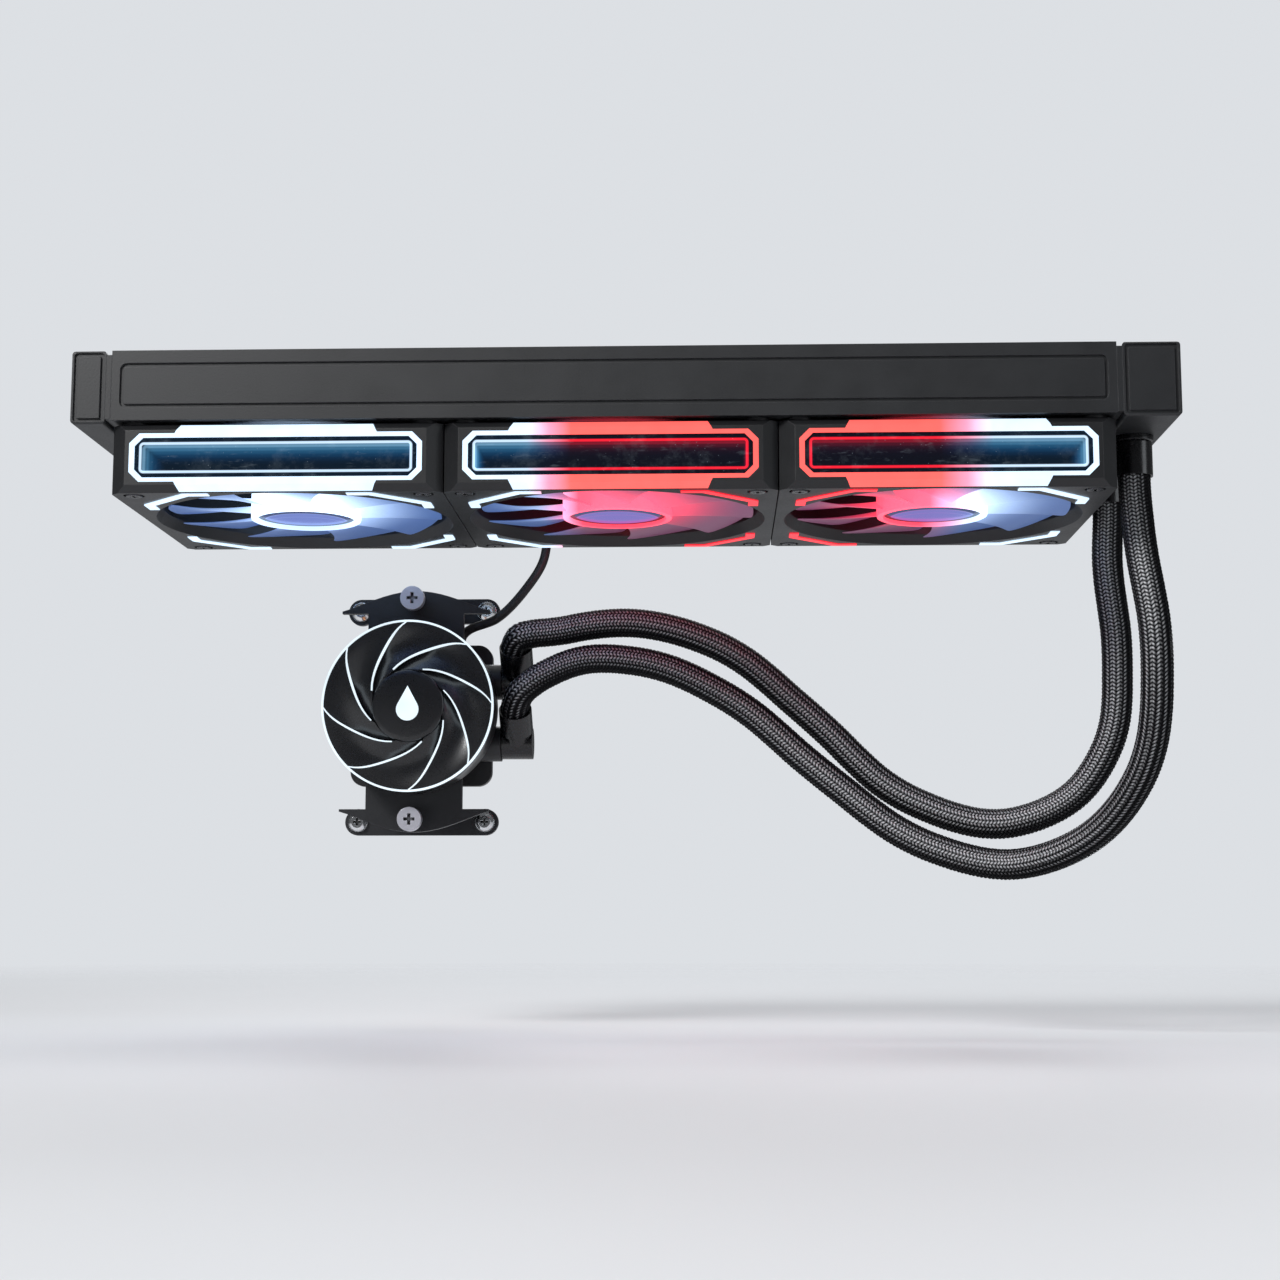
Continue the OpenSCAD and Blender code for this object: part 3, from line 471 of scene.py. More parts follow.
def frosted_blade(name):
    """Frosted plastic lit from the hub: brightest where the light travels to the eye, a cool haze at the tips."""
    s = Shader(name)
    x, y, r = fan_polar(s)
    incoming = s.split(s.add("NewGeometry").outputs["Incoming"])
    flat = s.math("SQRT", s.math("ADD", s.math("MULTIPLY", incoming[0], incoming[0]),
                                 s.math("ADD", s.math("MULTIPLY", incoming[1], incoming[1]), 1e-4)))
    facing = s.math("DIVIDE", s.math("ADD", s.math("MULTIPLY", x, incoming[0]), s.math("MULTIPLY", y, incoming[1])),
                    s.math("MULTIPLY", s.math("MAXIMUM", r, 1.0), flat))
    out = s.math("MAXIMUM", s.math("MULTIPLY", s.math("SUBTRACT", r, HUB_R / MM), 1 / BLADE_SPAN), 0.0)
    reach = s.math("SUBTRACT", s.math("ADD", 0.95, s.math("MULTIPLY", facing, 0.34)), s.math("MULTIPLY", out, 1.1))
    reach = s.math("MAXIMUM", reach, 0.0)
    near = s.math("MULTIPLY", s.math("MULTIPLY", reach, reach), 1.5)
    near = s.math("ADD", near, s.math("MULTIPLY", s.math("LESS_THAN", r, HUB_R / MM + 0.05), HUB_GLOW))
    glow_veil = s.math("MULTIPLY", s.math("ADD", 0.7, s.math("MULTIPLY", facing, 0.3)), VEIL)
    haze = led_colour(s, HAZE_RED, HAZE_PINK, HAZE_WHITE)
    core = led_colour(s, LED_BLUSH)
    glow = s.vector("ADD", s.vector("MULTIPLY", core, near), s.vector("MULTIPLY", haze, glow_veil))
    frost = s.noise(900.0, 3.0)
    # Painted light: the plastic's colour takes a share of the haze colour of the hub's lamps.
    tinted = s.mix(0.3, (0.10, 0.12, 0.16), haze)
    bsdf = s.add("BsdfPrincipled", Base_Color=tinted, Roughness=0.4, Normal=s.bump(frost, 0.5, 0.02 * MM))
    s.put(bsdf.inputs["Emission Color"], glow)
    s.put(bsdf.inputs["Emission Strength"], s.math("ADD", 0.92, s.math("MULTIPLY", frost, 0.16)))
    through = s.add("BsdfTranslucent", Color=tinted)
    return s.finish(s.layered(s.add("MixShader", Fac=0.2), bsdf.outputs["BSDF"], through.outputs["BSDF"]))


def inner_ray(s, across, depth_axis):
    """How far a look through the surface slides sideways per millimetre of depth, along the axes in across."""
    incoming = s.split(s.add("NewGeometry").outputs["Incoming"])
    away = s.math("MAXIMUM", s.math("ABSOLUTE", incoming[depth_axis]), 0.08)
    return [s.math("DIVIDE", s.math("MULTIPLY", incoming[axis], -1.0), away) for axis in across]


def lit_band(s, distance, half_width, soft=0.3):
    """1 where distance is within half_width of 0, with a soft edge."""
    beyond = s.math("SUBTRACT", s.math("ABSOLUTE", distance), half_width)
    return s.clamp(s.math("SUBTRACT", 1.0, s.math("DIVIDE", beyond, soft)))


def box_distance(s, x, y, half_x, half_y, corner):
    """The distance from a rectangle with round corners, negative inside it."""
    qx = s.math("SUBTRACT", s.math("ABSOLUTE", x), half_x - corner)
    qy = s.math("SUBTRACT", s.math("ABSOLUTE", y), half_y - corner)
    outside = s.hypot(s.math("MAXIMUM", qx, 0.0), s.math("MAXIMUM", qy, 0.0))
    inside = s.math("MINIMUM", s.math("MAXIMUM", qx, qy), 0.0)
    return s.math("SUBTRACT", s.math("ADD", outside, inside), corner)


def mirror_surface(s, glow, shine, dust_glow_level):
    """Dark tinted glass with dusty patches, wipes and specks that glow faintly as painted light, and a glow that
    stands in for the lights mirrored behind it.
    """
    where = s.add("TexCoord").outputs["Object"]
    patches = s.noise(110.0, 5.0, where, 0.7)
    cloud = s.math("MULTIPLY", s.math("MAXIMUM", s.math("SUBTRACT", patches, 0.50), 0.0), 0.26)
    wipes = s.noise(500.0, 3.0, s.vector("MULTIPLY", where, (0.35, 1.0, 1.6)), 0.6)
    wiped = s.math("MULTIPLY", s.math("MAXIMUM", s.math("SUBTRACT", wipes, 0.60), 0.0), 0.5)
    dots = s.add("TexVoronoi", Scale=420.0)
    s.put(dots.inputs["Vector"], where)
    speck = s.math("MULTIPLY", s.math("LESS_THAN", dots.outputs["Distance"], 0.07), s.math("MULTIPLY", patches, 0.35))
    # The dusty patches, wipes and specks shine as a faint emitted glow: real dirt, drawn as painted light.
    dust_glow = s.math("MULTIPLY", s.math("ADD", cloud, s.math("ADD", wiped, speck)), dust_glow_level)
    rough = s.math("ADD", s.math("MULTIPLY", patches, 0.15), 0.06)
    bsdf = s.add("BsdfPrincipled", Base_Color=(0.002, 0.006, 0.012), Roughness=rough)
    s.put(bsdf.inputs["Specular IOR Level"], shine)
    glow_veil = s.add("Emission", Color=(0.42, 0.52, 0.60), Strength=dust_glow)
    light = s.add("Emission", Color=glow, Strength=1.0)
    lit = s.layered(s.add("AddShader"), glow_veil.outputs["Emission"], light.outputs["Emission"])
    return s.finish(s.layered(s.add("AddShader"), bsdf.outputs["BSDF"], lit))


# The repeated outlines in a dark window: their number, spacing in depth, tint, and place, in millimetres.
MIRROR_COPIES = 7
MIRROR_DEPTH = 4.4
MIRROR_TINT = (0.5, 0.8, 0.94)
OUTLINE_INSET = 2.1
OUTLINE_CORNER = 1.2


def mirror_window(name, half_x, half_z):
    """The long dark window in a fan's side: an outline of light, repeated deeper, dimmer and bluer."""
    s = Shader(name)
    x, _, _ = fan_polar(s)
    z = s.split(s.add("NewGeometry").outputs["Position"])[2]
    middle = centre_of("fan_mirror_windows").z / MM
    z = s.math("SUBTRACT", s.math("MULTIPLY", z, 1 / MM), middle)
    slide_x, slide_z = inner_ray(s, (0, 2), 1)
    glow = s.vector("MULTIPLY", led_colour(s), (0.003, 0.007, 0.012))
    within = 1.0
    for k in range(MIRROR_COPIES):
        deep_x = s.math("ADD", x, s.math("MULTIPLY", slide_x, MIRROR_DEPTH * k))
        deep_z = s.math("ADD", z, s.math("MULTIPLY", slide_z, MIRROR_DEPTH * k))
        outline = box_distance(s, deep_x, deep_z, half_x - OUTLINE_INSET, half_z - OUTLINE_INSET, OUTLINE_CORNER)
        line = s.math("MULTIPLY", lit_band(s, outline, 0.30, 0.3 + 0.28 * k), within)
        if k == 0:
            within = s.math("LESS_THAN", outline, 0.0)
        strength = 1.1 if k == 0 else 0.42 * 0.56 ** (k - 1)
        tint = tuple(strength * c**k for c in MIRROR_TINT)
        glow = s.vector("ADD", glow, s.vector("MULTIPLY", s.vector("MULTIPLY", led_colour(s), tint), line))
    return mirror_surface(s, glow, 0.22, 1.0)


# The painted reflection of a disc behind the cap's glass, and two dim painted arcs as (depth, strength), in
# millimetres.
DISC_DEPTH = 1.6
ARC_DEPTHS = ((DISC_DEPTH, 0.20), (2.9, 0.10))
ARC_INSET = 1.0


def mirror_disc(name, radius):
    """The round dark cap on a fan's hub: a black rim round a painted blue-violet glow of the mirrored lights, dark on
    the side nearest the eye.
    """
    s = Shader(name)
    x, y, r = fan_polar(s)
    slide_x, slide_y = inner_ray(s, (0, 1), 2)

    def mirrored(depth):
        near_x = s.math("SUBTRACT", x, s.math("MULTIPLY", slide_x, depth))
        near_y = s.math("SUBTRACT", y, s.math("MULTIPLY", slide_y, depth))
        return s.hypot(near_x, near_y)

    def inside(distance, soft):
        return s.clamp(s.math("DIVIDE", s.math("SUBTRACT", radius, distance), soft))

    def arc(depth, strength):
        return s.math("MULTIPLY", lit_band(s, s.math("SUBTRACT", mirrored(depth), radius - ARC_INSET), 0.2), strength)

    disc = inside(r, 0.4)
    # Painted reflection: the disc's blue-violet and its arcs are emitted glow, not the cap's own colour.
    violet = s.mix(0.10, (0.11, 0.17, 0.68), led_colour(s))
    body = s.mix(inside(mirrored(DISC_DEPTH), 1.2), (0.010, 0.035, 0.17), violet)
    arcs = s.math("ADD", *[arc(depth, strength) for depth, strength in ARC_DEPTHS])
    glow = s.vector("ADD", s.vector("MULTIPLY", body, 0.75), s.vector("MULTIPLY", led_colour(s), arcs))
    return mirror_surface(s, s.vector("MULTIPLY", glow, disc), 0.08, 0.1)


def braid_finish(name):
    """Black braided nylon with a painted highlight: a strand turns light grey on its crown where it passes over and
    its filaments lie across the key lamp's light, so one set shows.
    """
    s = Shader(name)
    across, along, _ = s.split(s.add("UVMap", {"uv_map": "strand"}).outputs["UV"])
    on_top = s.split(s.add("UVMap", {"uv_map": "crossing"}).outputs["UV"])[0]
    offset = s.math("SUBTRACT", s.math("MULTIPLY", across, 2.0), 1.0)
    crown = s.math("SUBTRACT", 1.0, s.math("MULTIPLY", offset, offset))
    streak = s.noise(2.0, 2.0, s.join(s.math("MULTIPLY", across, 3.0), s.math("MULTIPLY", along, 0.4), 0.0))
    geometry = s.add("NewGeometry").outputs
    wide = s.add("Tangent", {"direction_type": "UV_MAP", "uv_map": "strand"}).outputs["Tangent"]
    fibre = s.vector("CROSS_PRODUCT", geometry["Normal"], wide)
    # Painted highlight, worked out from the key lamp's direction and painted into the colour.
    halfway = s.vector("NORMALIZE", s.vector("ADD", geometry["Incoming"], KEY_DIRECTION))
    lean = s.vector("DOT_PRODUCT", fibre, halfway)
    shine = s.math("POWER", s.math("SUBTRACT", 1.0, s.math("MULTIPLY", lean, lean)), 7.0)
    faced = s.math("MAXIMUM", s.vector("DOT_PRODUCT", geometry["Normal"], halfway), 0.0)
    shine = s.math("MULTIPLY", shine, s.math("MULTIPLY", faced, faced))
    raised = s.math("MULTIPLY", on_top, on_top)
    shine = s.math("MULTIPLY", shine, s.math("ADD", 0.6, streak))
    shown = s.math("MULTIPLY", s.math("MULTIPLY", crown, raised), shine)
    # The painted highlight lifts the base colour from black to light grey and raises the specular level.
    base = s.mix(s.math("MINIMUM", shown, 1.0), (0.004, 0.004, 0.005), (0.62, 0.63, 0.65))
    bsdf = s.add("BsdfPrincipled", Base_Color=base, Roughness=0.42, Normal=s.bump(crown, 1.0, 0.25 * MM))
    s.put(bsdf.inputs["Specular IOR Level"], s.math("ADD", 0.05, s.math("MULTIPLY", shown, 0.5)))
    return s.finish(bsdf.outputs["BSDF"])


def board_finish(name):
    """Green solder mask with faint copper tracks."""
    s = Shader(name)
    where = s.add("TexCoord").outputs["Object"]
    cells = s.add("TexBrick", Scale=260.0, Mortar_Size=0.06)
    s.put(cells.inputs["Vector"], where)
    base = s.mix(s.math("MULTIPLY", cells.outputs["Fac"], 0.5), (0.012, 0.09, 0.045), (0.10, 0.22, 0.10))
    raised = s.bump(cells.outputs["Fac"], 0.4, 0.03 * MM)
    bsdf = s.add("BsdfPrincipled", Base_Color=base, Roughness=0.3, Normal=raised)
    return s.finish(bsdf.outputs["BSDF"])


WIRE_PITCH = 0.35 * MM


def winding_finish(name):
    """Enamelled copper wire laid in turns, with painted shade in the grooves between turns and a painted highlight on
    their tops.
    """
    s = Shader(name)
    x, y, z = s.split(s.add("TexCoord").outputs["Object"])
    height = s.math("ADD", z, s.math("MULTIPLY", s.math("ADD", x, y), 0.15))
    turns = s.math("SINE", s.math("MULTIPLY", height, 2 * math.pi / WIRE_PITCH))
    # Painted shade and highlight: the copper is darker in the grooves and lighter on the tops of the turns.
    base = s.mix(s.math("ADD", s.math("MULTIPLY", turns, 0.5), 0.5), (0.22, 0.07, 0.02), (0.72, 0.30, 0.12))
    ridged = s.bump(turns, 0.8, 0.08 * MM)
    bsdf = s.add("BsdfPrincipled", Base_Color=base, Metallic=0.85, Roughness=0.32, Normal=ridged)
    return s.finish(bsdf.outputs["BSDF"])


def make_materials():
    """Every material that a CAD node or a piece names, apart from the dark mirrors."""
    black = (0.011, 0.0115, 0.013)
    return {
        "radiator_paint": hard_finish("radiator_paint", (0.017, 0.018, 0.020), 0.46, 1400.0, 0.03,
                                      wear_and_glint_colour=(0.09, 0.09, 0.10), wear_and_glint=0.3),
        "core_paint": hard_finish("core_paint", (0.016, 0.017, 0.019), 0.42, 900.0, 0.02, metal=0.3,
                                  wear_and_glint_colour=(0.2, 0.2, 0.21)),
        "port_plastic": hard_finish("port_plastic", (0.005, 0.005, 0.006), 0.26, 700.0, 0.006, coat=0.1),
        "plug_steel": hard_finish("plug_steel", (0.03, 0.03, 0.032), 0.38, 900.0, 0.01, metal=0.8,
                                  wear_and_glint_colour=(0.3, 0.3, 0.3)),
        "fan_frame_plastic": hard_finish("fan_frame_plastic", black, 0.44, 1800.0, 0.025),
        "blade_plastic": frosted_blade("blade_plastic"),
        "magnet": hard_finish("magnet", (0.05, 0.05, 0.055), 0.5, 1200.0, 0.02, metal=0.4),
        "polished_steel": brushed_finish("polished_steel", (0.62, 0.63, 0.65), 0.22, (300.0, 300.0, 4000.0)),
        "bearing_bronze": brushed_finish("bearing_bronze", (0.48, 0.31, 0.14), 0.34, (900.0, 900.0, 900.0)),
        "copper_winding": winding_finish("copper_winding"),
        "circuit_board": board_finish("circuit_board"),
        "fan_light": light_guide("fan_light", 1.3, 3.0),
        "fan_side_light": light_guide("fan_side_light", 1.3, 3.0, red=LED_CORAL),
        "pump_light": light_guide("pump_light", 1.0, 1.6, (0.80, 0.92, 1.0)),
        # The black screws' light edge colour is mostly a painted glint, partly rubbed metal.
        "black_screw": hard_finish("black_screw", (0.05, 0.05, 0.055), 0.24, 1500.0, 0.01, metal=0.9,
                                   wear_and_glint_colour=(0.4, 0.4, 0.41), wear_and_glint=0.5),
        "cable_rubber": hard_finish("cable_rubber", (0.010, 0.010, 0.011), 0.5, 2200.0, 0.01),
        "hose_rubber": hard_finish("hose_rubber", (0.006, 0.006, 0.007), 0.6, 1600.0, 0.02),
        "braid": braid_finish("braid"),
        "copper": brushed_finish("copper", (0.66, 0.30, 0.15), 0.26, (60.0, 60.0, 3500.0), wear_and_glint_colour=(0.85, 0.5, 0.32)),
        "pump_plastic": hard_finish("pump_plastic", black, 0.42, 1700.0, 0.02),
        "bracket_paint": hard_finish("bracket_paint", (0.022, 0.023, 0.026), 0.42, 1200.0, 0.03, metal=0.3,
                                     wear_and_glint_colour=(0.16, 0.16, 0.17)),
        "impeller_plastic": hard_finish("impeller_plastic", (0.6, 0.57, 0.5), 0.4, 900.0, 0.01, mottling=0.06),
        "ceramic": hard_finish("ceramic", (0.8, 0.8, 0.78), 0.16, 600.0, 0.004, mottling=0.03, coat=0.4),
        "cover_plastic": hard_finish("cover_plastic", (0.010, 0.0105, 0.012), 0.3, 2400.0, 0.012, edge=0.2 * MM,
                                     coat=0.15),
        "zinc_steel": brushed_finish("zinc_steel", (0.52, 0.53, 0.55), 0.34, (3000.0, 6000.0, 3000.0)),
        "nut_chrome": brushed_finish("nut_chrome", (0.78, 0.79, 0.81), 0.14, (4000.0, 4000.0, 4000.0)),
        "screw_steel": brushed_finish("screw_steel", (0.60, 0.60, 0.66), 0.34, (5000.0, 1500.0, 5000.0), metal=0.65),
        "spring_steel": brushed_finish("spring_steel", (0.6, 0.61, 0.63), 0.22, (4000.0, 4000.0, 4000.0)),
    }


CAP_RIM = 1.8

materials = make_materials()
windows = size_of("fan_mirror_windows")
materials["mirror_window"] = mirror_window("mirror_window", (windows.x - 2 * FAN_PITCH) / 2 / MM, windows.z / 2 / MM)
materials["mirror_disc"] = mirror_disc("mirror_disc", size_of("fan_2_hub_cap").x / 2 / MM - CAP_RIM)

SPECIAL = {
    "fan_mirror_windows": "mirror_window", "fan_1_hub_cap": "mirror_disc", "fan_2_hub_cap": "mirror_disc",
    "fan_3_hub_cap": "mirror_disc", "fan_corner_lights": "fan_light", "fan_side_lights": "fan_side_light",
    "cover_light": "pump_light", "cover_emblem": "pump_light",
}


def paint_frame():
    """Gives every CAD node its material: its record's slot, or a finer one from SPECIAL."""
    slots = {row["node"]: row["material_slot"] for row in frame["record"]["subparts"]}
    for name, node in frame["nodes"].items():
        material = materials[SPECIAL.get(name, slots[name])]
        node.data.materials.clear()
        node.data.materials.append(material)


paint_frame()


# ---- Hoses ----

HOSE_INNER_R = 5.1 * MM
STRANDS = 24
BRAID_MIDDLE = 5.50 * MM
BRAID_RISE = 0.24 * MM
STRAND_HALF = 0.47 * MM
STRAND_CROWN = 0.24 * MM


def braid(name, path):
    """Two sets of slanted strands that pass over and under each other, in rows along the hose."""
    turn = path.length / BRAID_MIDDLE
    across = (-1.0, 0.0, 1.0)
    points, faces, coords, crossings = [], [], [], []
    count = len(path.points)
    first = 0
    for way in (1, -1):
        for k in range(STRANDS):
            angle = way * turn + k * 2 * math.pi / STRANDS
            lift = way * np.clip(1.6 * np.sin(angle * STRANDS / 2), -1, 1)
            out = path.outward(angle)
            middle = path.around(angle, BRAID_MIDDLE + BRAID_RISE * lift)
            run = np.gradient(middle, axis=0)
            run /= np.linalg.norm(run, axis=1)[:, None]
            wide = np.cross(out, run)
            rows = [middle + w * STRAND_HALF * wide + (1 - abs(w)) * STRAND_CROWN * out for w in across]
            points.append(np.stack(rows, axis=1).reshape(-1, 3))
            faces += strip_faces(count, len(across), first)
            coords += [(w * 0.5 + 0.5, d / MM) for d in path.length for w in across]
            crossings += [(0.5 + 0.5 * over, 0.0) for over in lift for _ in across]
            first += count * len(across)
    piece = mesh_piece(name, np.concatenate(points), faces, materials["braid"])
    corner = np.zeros(len(piece.data.loops), int)
    piece.data.loops.foreach_get("vertex_index", corner)
    for layer_name, values in (("strand", coords), ("crossing", crossings)):
        layer = piece.data.uv_layers.new(name=layer_name)
        layer.data.foreach_set("uv", np.array(values)[corner].ravel())
    return piece


def hose(side):
    """One hose: its tube, and the braid round it."""
    node = side + "_hose_tube"
    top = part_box(node)[1].z
    knots = centreline(node, lambda p: p[2] > top - 0.05 * MM)
    path = Path(knots, 0.6 * MM)
    inner = tube(side + "_hose_inner", path, HOSE_INNER_R, materials["hose_rubber"], 18)
    stand_in(inner, node)
    outer = braid(side + "_hose_braid", path)
    stand_in(outer, side + "_hose_sleeve")
    for piece in (inner, outer):
        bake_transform(piece)


hose("near")
hose("far")


# ---- Cooling fins ----

TUBE_GAP = 3 * MM
HALF_FOLD = 1.75 * MM
FIN_SHEET = 0.1 * MM
FIN_CLEARANCE = 0.05 * MM
FOLD_STEPS = 5
FOLD_SHARPNESS = 2.6


def tube_sides():
    """The low and high Y of each flat coolant tube."""
    levels = np.unique(np.round(merged("coolant_tubes")[0][:, 1], 5))
    breaks = np.where(np.diff(levels) > TUBE_GAP)[0]
    return list(zip(levels[np.concatenate([[0], breaks + 1])], levels[np.concatenate([breaks, [-1]])]))


def fin_strip(x_half, y_low, y_high, z_low, z_high):
    """One strip folded back and forth between two tubes, with rounded folds, as a thin closed sheet."""
    folds = int(2 * x_half / HALF_FOLD)
    t = np.arange(folds * FOLD_STEPS + 1) / FOLD_STEPS
    x = -x_half + t * 2 * x_half / folds
    wave = np.tanh(FOLD_SHARPNESS * np.sin(math.pi * t + math.pi / 2)) / math.tanh(FOLD_SHARPNESS)
    y = (y_low + y_high) / 2 + wave * (y_high - y_low - FIN_SHEET) / 2
    dx, dy = np.gradient(x), np.gradient(y)
    run = np.hypot(dx, dy)
    off_x, off_y = -dy / run * FIN_SHEET / 2, dx / run * FIN_SHEET / 2
    rows = []
    for side, z in ((1, z_low), (1, z_high), (-1, z_high), (-1, z_low)):
        rows.append(np.stack([x + side * off_x, y + side * off_y, np.full_like(x, z)], axis=1))
    points = np.stack(rows, axis=1).reshape(-1, 3)
    count = len(x)
    faces = strip_faces(count, 4, closed=True)
    faces += [(3, 2, 1, 0), tuple((count - 1) * 4 + j for j in range(4))]
    return points, faces


def cooling_fins():
    """One folded strip in each gap between the coolant tubes."""
    low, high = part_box("cooling_fins")
    sides = tube_sides()
    edges = [low.y] + [y for pair in sides for y in pair] + [high.y]
    strips = []
    for y_low, y_high in zip(edges[::2], edges[1::2]):
        strips.append(fin_strip(high.x, y_low + FIN_CLEARANCE, y_high - FIN_CLEARANCE, low.z, high.z))
    piece = join_parts("cooling_fin_strips", strips, materials["core_paint"], 50)
    stand_in(piece, "cooling_fins", ROOT)


cooling_fins()


# ---- Fan rotors ----

BLADES = 9
BLADE_CHORD = 39
BLADE_LEAD = 6
BLADE_SWEEP = 10
BLADE_FOOT = 2.2
CORNER_FROM = 0.9

# The hub's outline, in millimetres.
HUB_OUT = HUB_R / MM
HUB_WALL = 1.6
HUB_END = 19.0
HUB_ROOF = 1.2
SHAFT_SEAT_R = 1.5
SHAFT_BOSS_R = 3.4
SHAFT_BOSS = 1.3
CAP_GAP = 0.1


def blade(base, hub_r, tip_r, turn):
    """One swept blade: a thin rounded section carried from the hub to the tip, with round corners at the tip."""
    sections = []
    loop = np.arange(30) * 2 * math.pi / 30
    for u in np.concatenate([np.linspace(0, CORNER_FROM, 12), (0.935, 0.965, 0.985, 1.0)]):
        corner = max(0.0, (u - CORNER_FROM) / (1 - CORNER_FROM))
        v = 0.5 - 0.5 * np.cos(loop) * (1 - 0.09 * (1 - math.sqrt(1 - corner**2)))
        half = (0.62 - 0.2 * u) * MM
        angle = turn + np.radians((1 - u) * BLADE_LEAD + v * BLADE_CHORD + BLADE_SWEEP * u**2)
        r = hub_r + u * (tip_r - hub_r)
        z = (BLADE_FOOT + (1 - v) ** 1.15 * (5.2 - 2 * u) + 0.6 * np.sin(math.pi * v)) * MM
        z = z + half * np.sign(np.sin(loop)) * np.abs(np.sin(loop)) ** 0.6
        sections.append(np.stack([base[0] + r * np.cos(angle), base[1] + r * np.sin(angle), base[2] + z], axis=1))
    return closed_loft(sections)


def rotor(fan):
    """A fan's hub, open at its far end and recessed for the cap, with its blades."""
    node = fan + "_rotor"
    centre = centre_of(node)
    base = (centre.x, centre.y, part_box(fan + "_frame")[0].z)
    face = (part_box(node)[0].z - base[2]) / MM
    seat = (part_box(fan + "_hub_cap")[1].z - base[2]) / MM
    roof = seat + HUB_ROOF
    boss = roof + SHAFT_BOSS
    inside = HUB_OUT - HUB_WALL
    cap_r = size_of(fan + "_hub_cap").x / 2 / MM + CAP_GAP
    outline = [(SHAFT_BOSS_R, roof), (SHAFT_BOSS_R, boss), (SHAFT_SEAT_R, boss), (SHAFT_SEAT_R, roof),
               (0.001, roof), (0.001, seat), (cap_r, seat), (cap_r, face + 0.2), (cap_r + 0.25, face),
               (HUB_OUT - 0.7, face), (HUB_OUT - 0.2, face + 0.25), (HUB_OUT, face + 0.9),
               (HUB_OUT, HUB_END - 0.2), (HUB_OUT - 0.2, HUB_END), (inside + 0.2, HUB_END),
               (inside, HUB_END - 0.2), (inside, roof)]
    hub = lathe([(r * MM, z * MM) for r, z in outline], 96, base)
    tip_r = size_of(node).x / 2
    blades = [blade(base, HUB_R - 0.6 * MM, tip_r, k * 2 * math.pi / BLADES) for k in range(BLADES)]
    piece = join_parts(fan + "_blades", [hub] + blades, materials["blade_plastic"], 40)
    stand_in(piece, node, fan + "_rotor_set")


for fan_name in FAN_NAMES:
    rotor(fan_name)


# ---- Pump cover ----

SWIRLS = 8
SWIRL_IN = 15.9 * MM
SWIRL_DEGREES = 66
SWIRL_START = 1.5
SWIRL_OFFSET = 0.45 * MM
STEPS_PER_SWIRL = 22
DISC_R = 14.7 * MM
DISC_DISH = 0.9 * MM
RIM_R = COVER_R - 0.8 * MM
VALLEY = 3.4 * MM
VALLEY_END = 20 * MM
STEP_UP = 0.25 * MM

# The cover's edge, skirt and hollow in millimetres: (in from its outline, depth), then (radius, depth).
SHELL_EDGE = ((0.8, 1.25), (0.02, 1.25), (0.0, 1.3), (0.0, 18.6), (0.9, 19.9), (2.0, 20.0), (2.0, 3.6))
HOLLOW_MIDDLE = (1.0, 3.6)


def swirl_turn(r):
    """How far a swirl line has turned at radius r, measured from the rim."""
    t = np.clip((RIM_R - r) / (RIM_R - SWIRL_IN), 0, 1.05)
    return np.radians(SWIRL_DEGREES * (0.76 * t - 0.74 * t**2 + 0.98 * t**3))


def cover_point(r, angle, depth):
    """A point on the cover's face: angle as the viewer sees it, depth into the cover."""
    return np.stack([COVER.x + r * np.cos(angle), COVER_FACE + depth, COVER.z + r * np.sin(angle)], axis=-1)


def pump_cover():
    """The cover: a shallow dish in the middle, a ring of twisted blades that slope into each other, and a skirt."""
    phase = np.linspace(0, 1, STEPS_PER_SWIRL)
    sector = 2 * math.pi / SWIRLS
    rows = []

    def row(r, depth):
        edge = np.radians(SWIRL_START) + swirl_turn(r) - SWIRL_OFFSET / r
        angle = np.concatenate([edge + (k + phase) * sector for k in range(SWIRLS)])
        rows.append(cover_point(r, angle, np.tile(depth, SWIRLS)))

    def level_row(r, depth):
        row(r, np.full(STEPS_PER_SWIRL, depth))

    for r in np.linspace(0.6 * MM, DISC_R - 0.5 * MM, 9):
        level_row(r, DISC_DISH * (r / DISC_R) ** 2 - 0.1 * MM)
    for out, depth in ((-0.15, 0.95), (0.0, 1.2), (0.02, 2.3)):
        level_row(DISC_R + out * MM, depth * MM)
    for r in np.linspace(DISC_R + 0.1 * MM, RIM_R, 34):
        valley = VALLEY * (1 - smooth_step(VALLEY_END, RIM_R, r))
        rise = STEP_UP * (1 - smooth_step(DISC_R, DISC_R + 5 * MM, r))
        row(r, 0.12 * MM + rise + valley * (0.1 * np.sin(phase * math.pi) + phase**1.7))
    for inset, depth in SHELL_EDGE:
        level_row(COVER_R - inset * MM, depth * MM)
    level_row(HOLLOW_MIDDLE[0] * MM, HOLLOW_MIDDLE[1] * MM)
    columns = SWIRLS * STEPS_PER_SWIRL
    faces = strip_faces(len(rows), columns, closed=True)
    faces.append(tuple(range(columns)))
    last = (len(rows) - 1) * columns
    faces.append(tuple(last + j for j in range(columns - 1, -1, -1)))
    piece = mesh_piece("pump_cover_shell", np.concatenate(rows), faces, materials["cover_plastic"])
    shape = bmesh.new()
    shape.from_mesh(piece.data)
    bmesh.ops.remove_doubles(shape, verts=shape.verts, dist=MERGE_STEP)
    bmesh.ops.recalc_face_normals(shape, faces=shape.faces)
    shape.to_mesh(piece.data)
    shape.free()
    piece.data.set_sharp_from_angle(angle=math.radians(42))
    stand_in(piece, "pump_cover", ROOT)


pump_cover()


# ---- Springs and leads ----

SPRING_WIRE = 0.42 * MM
SPRING_TURNS = 5


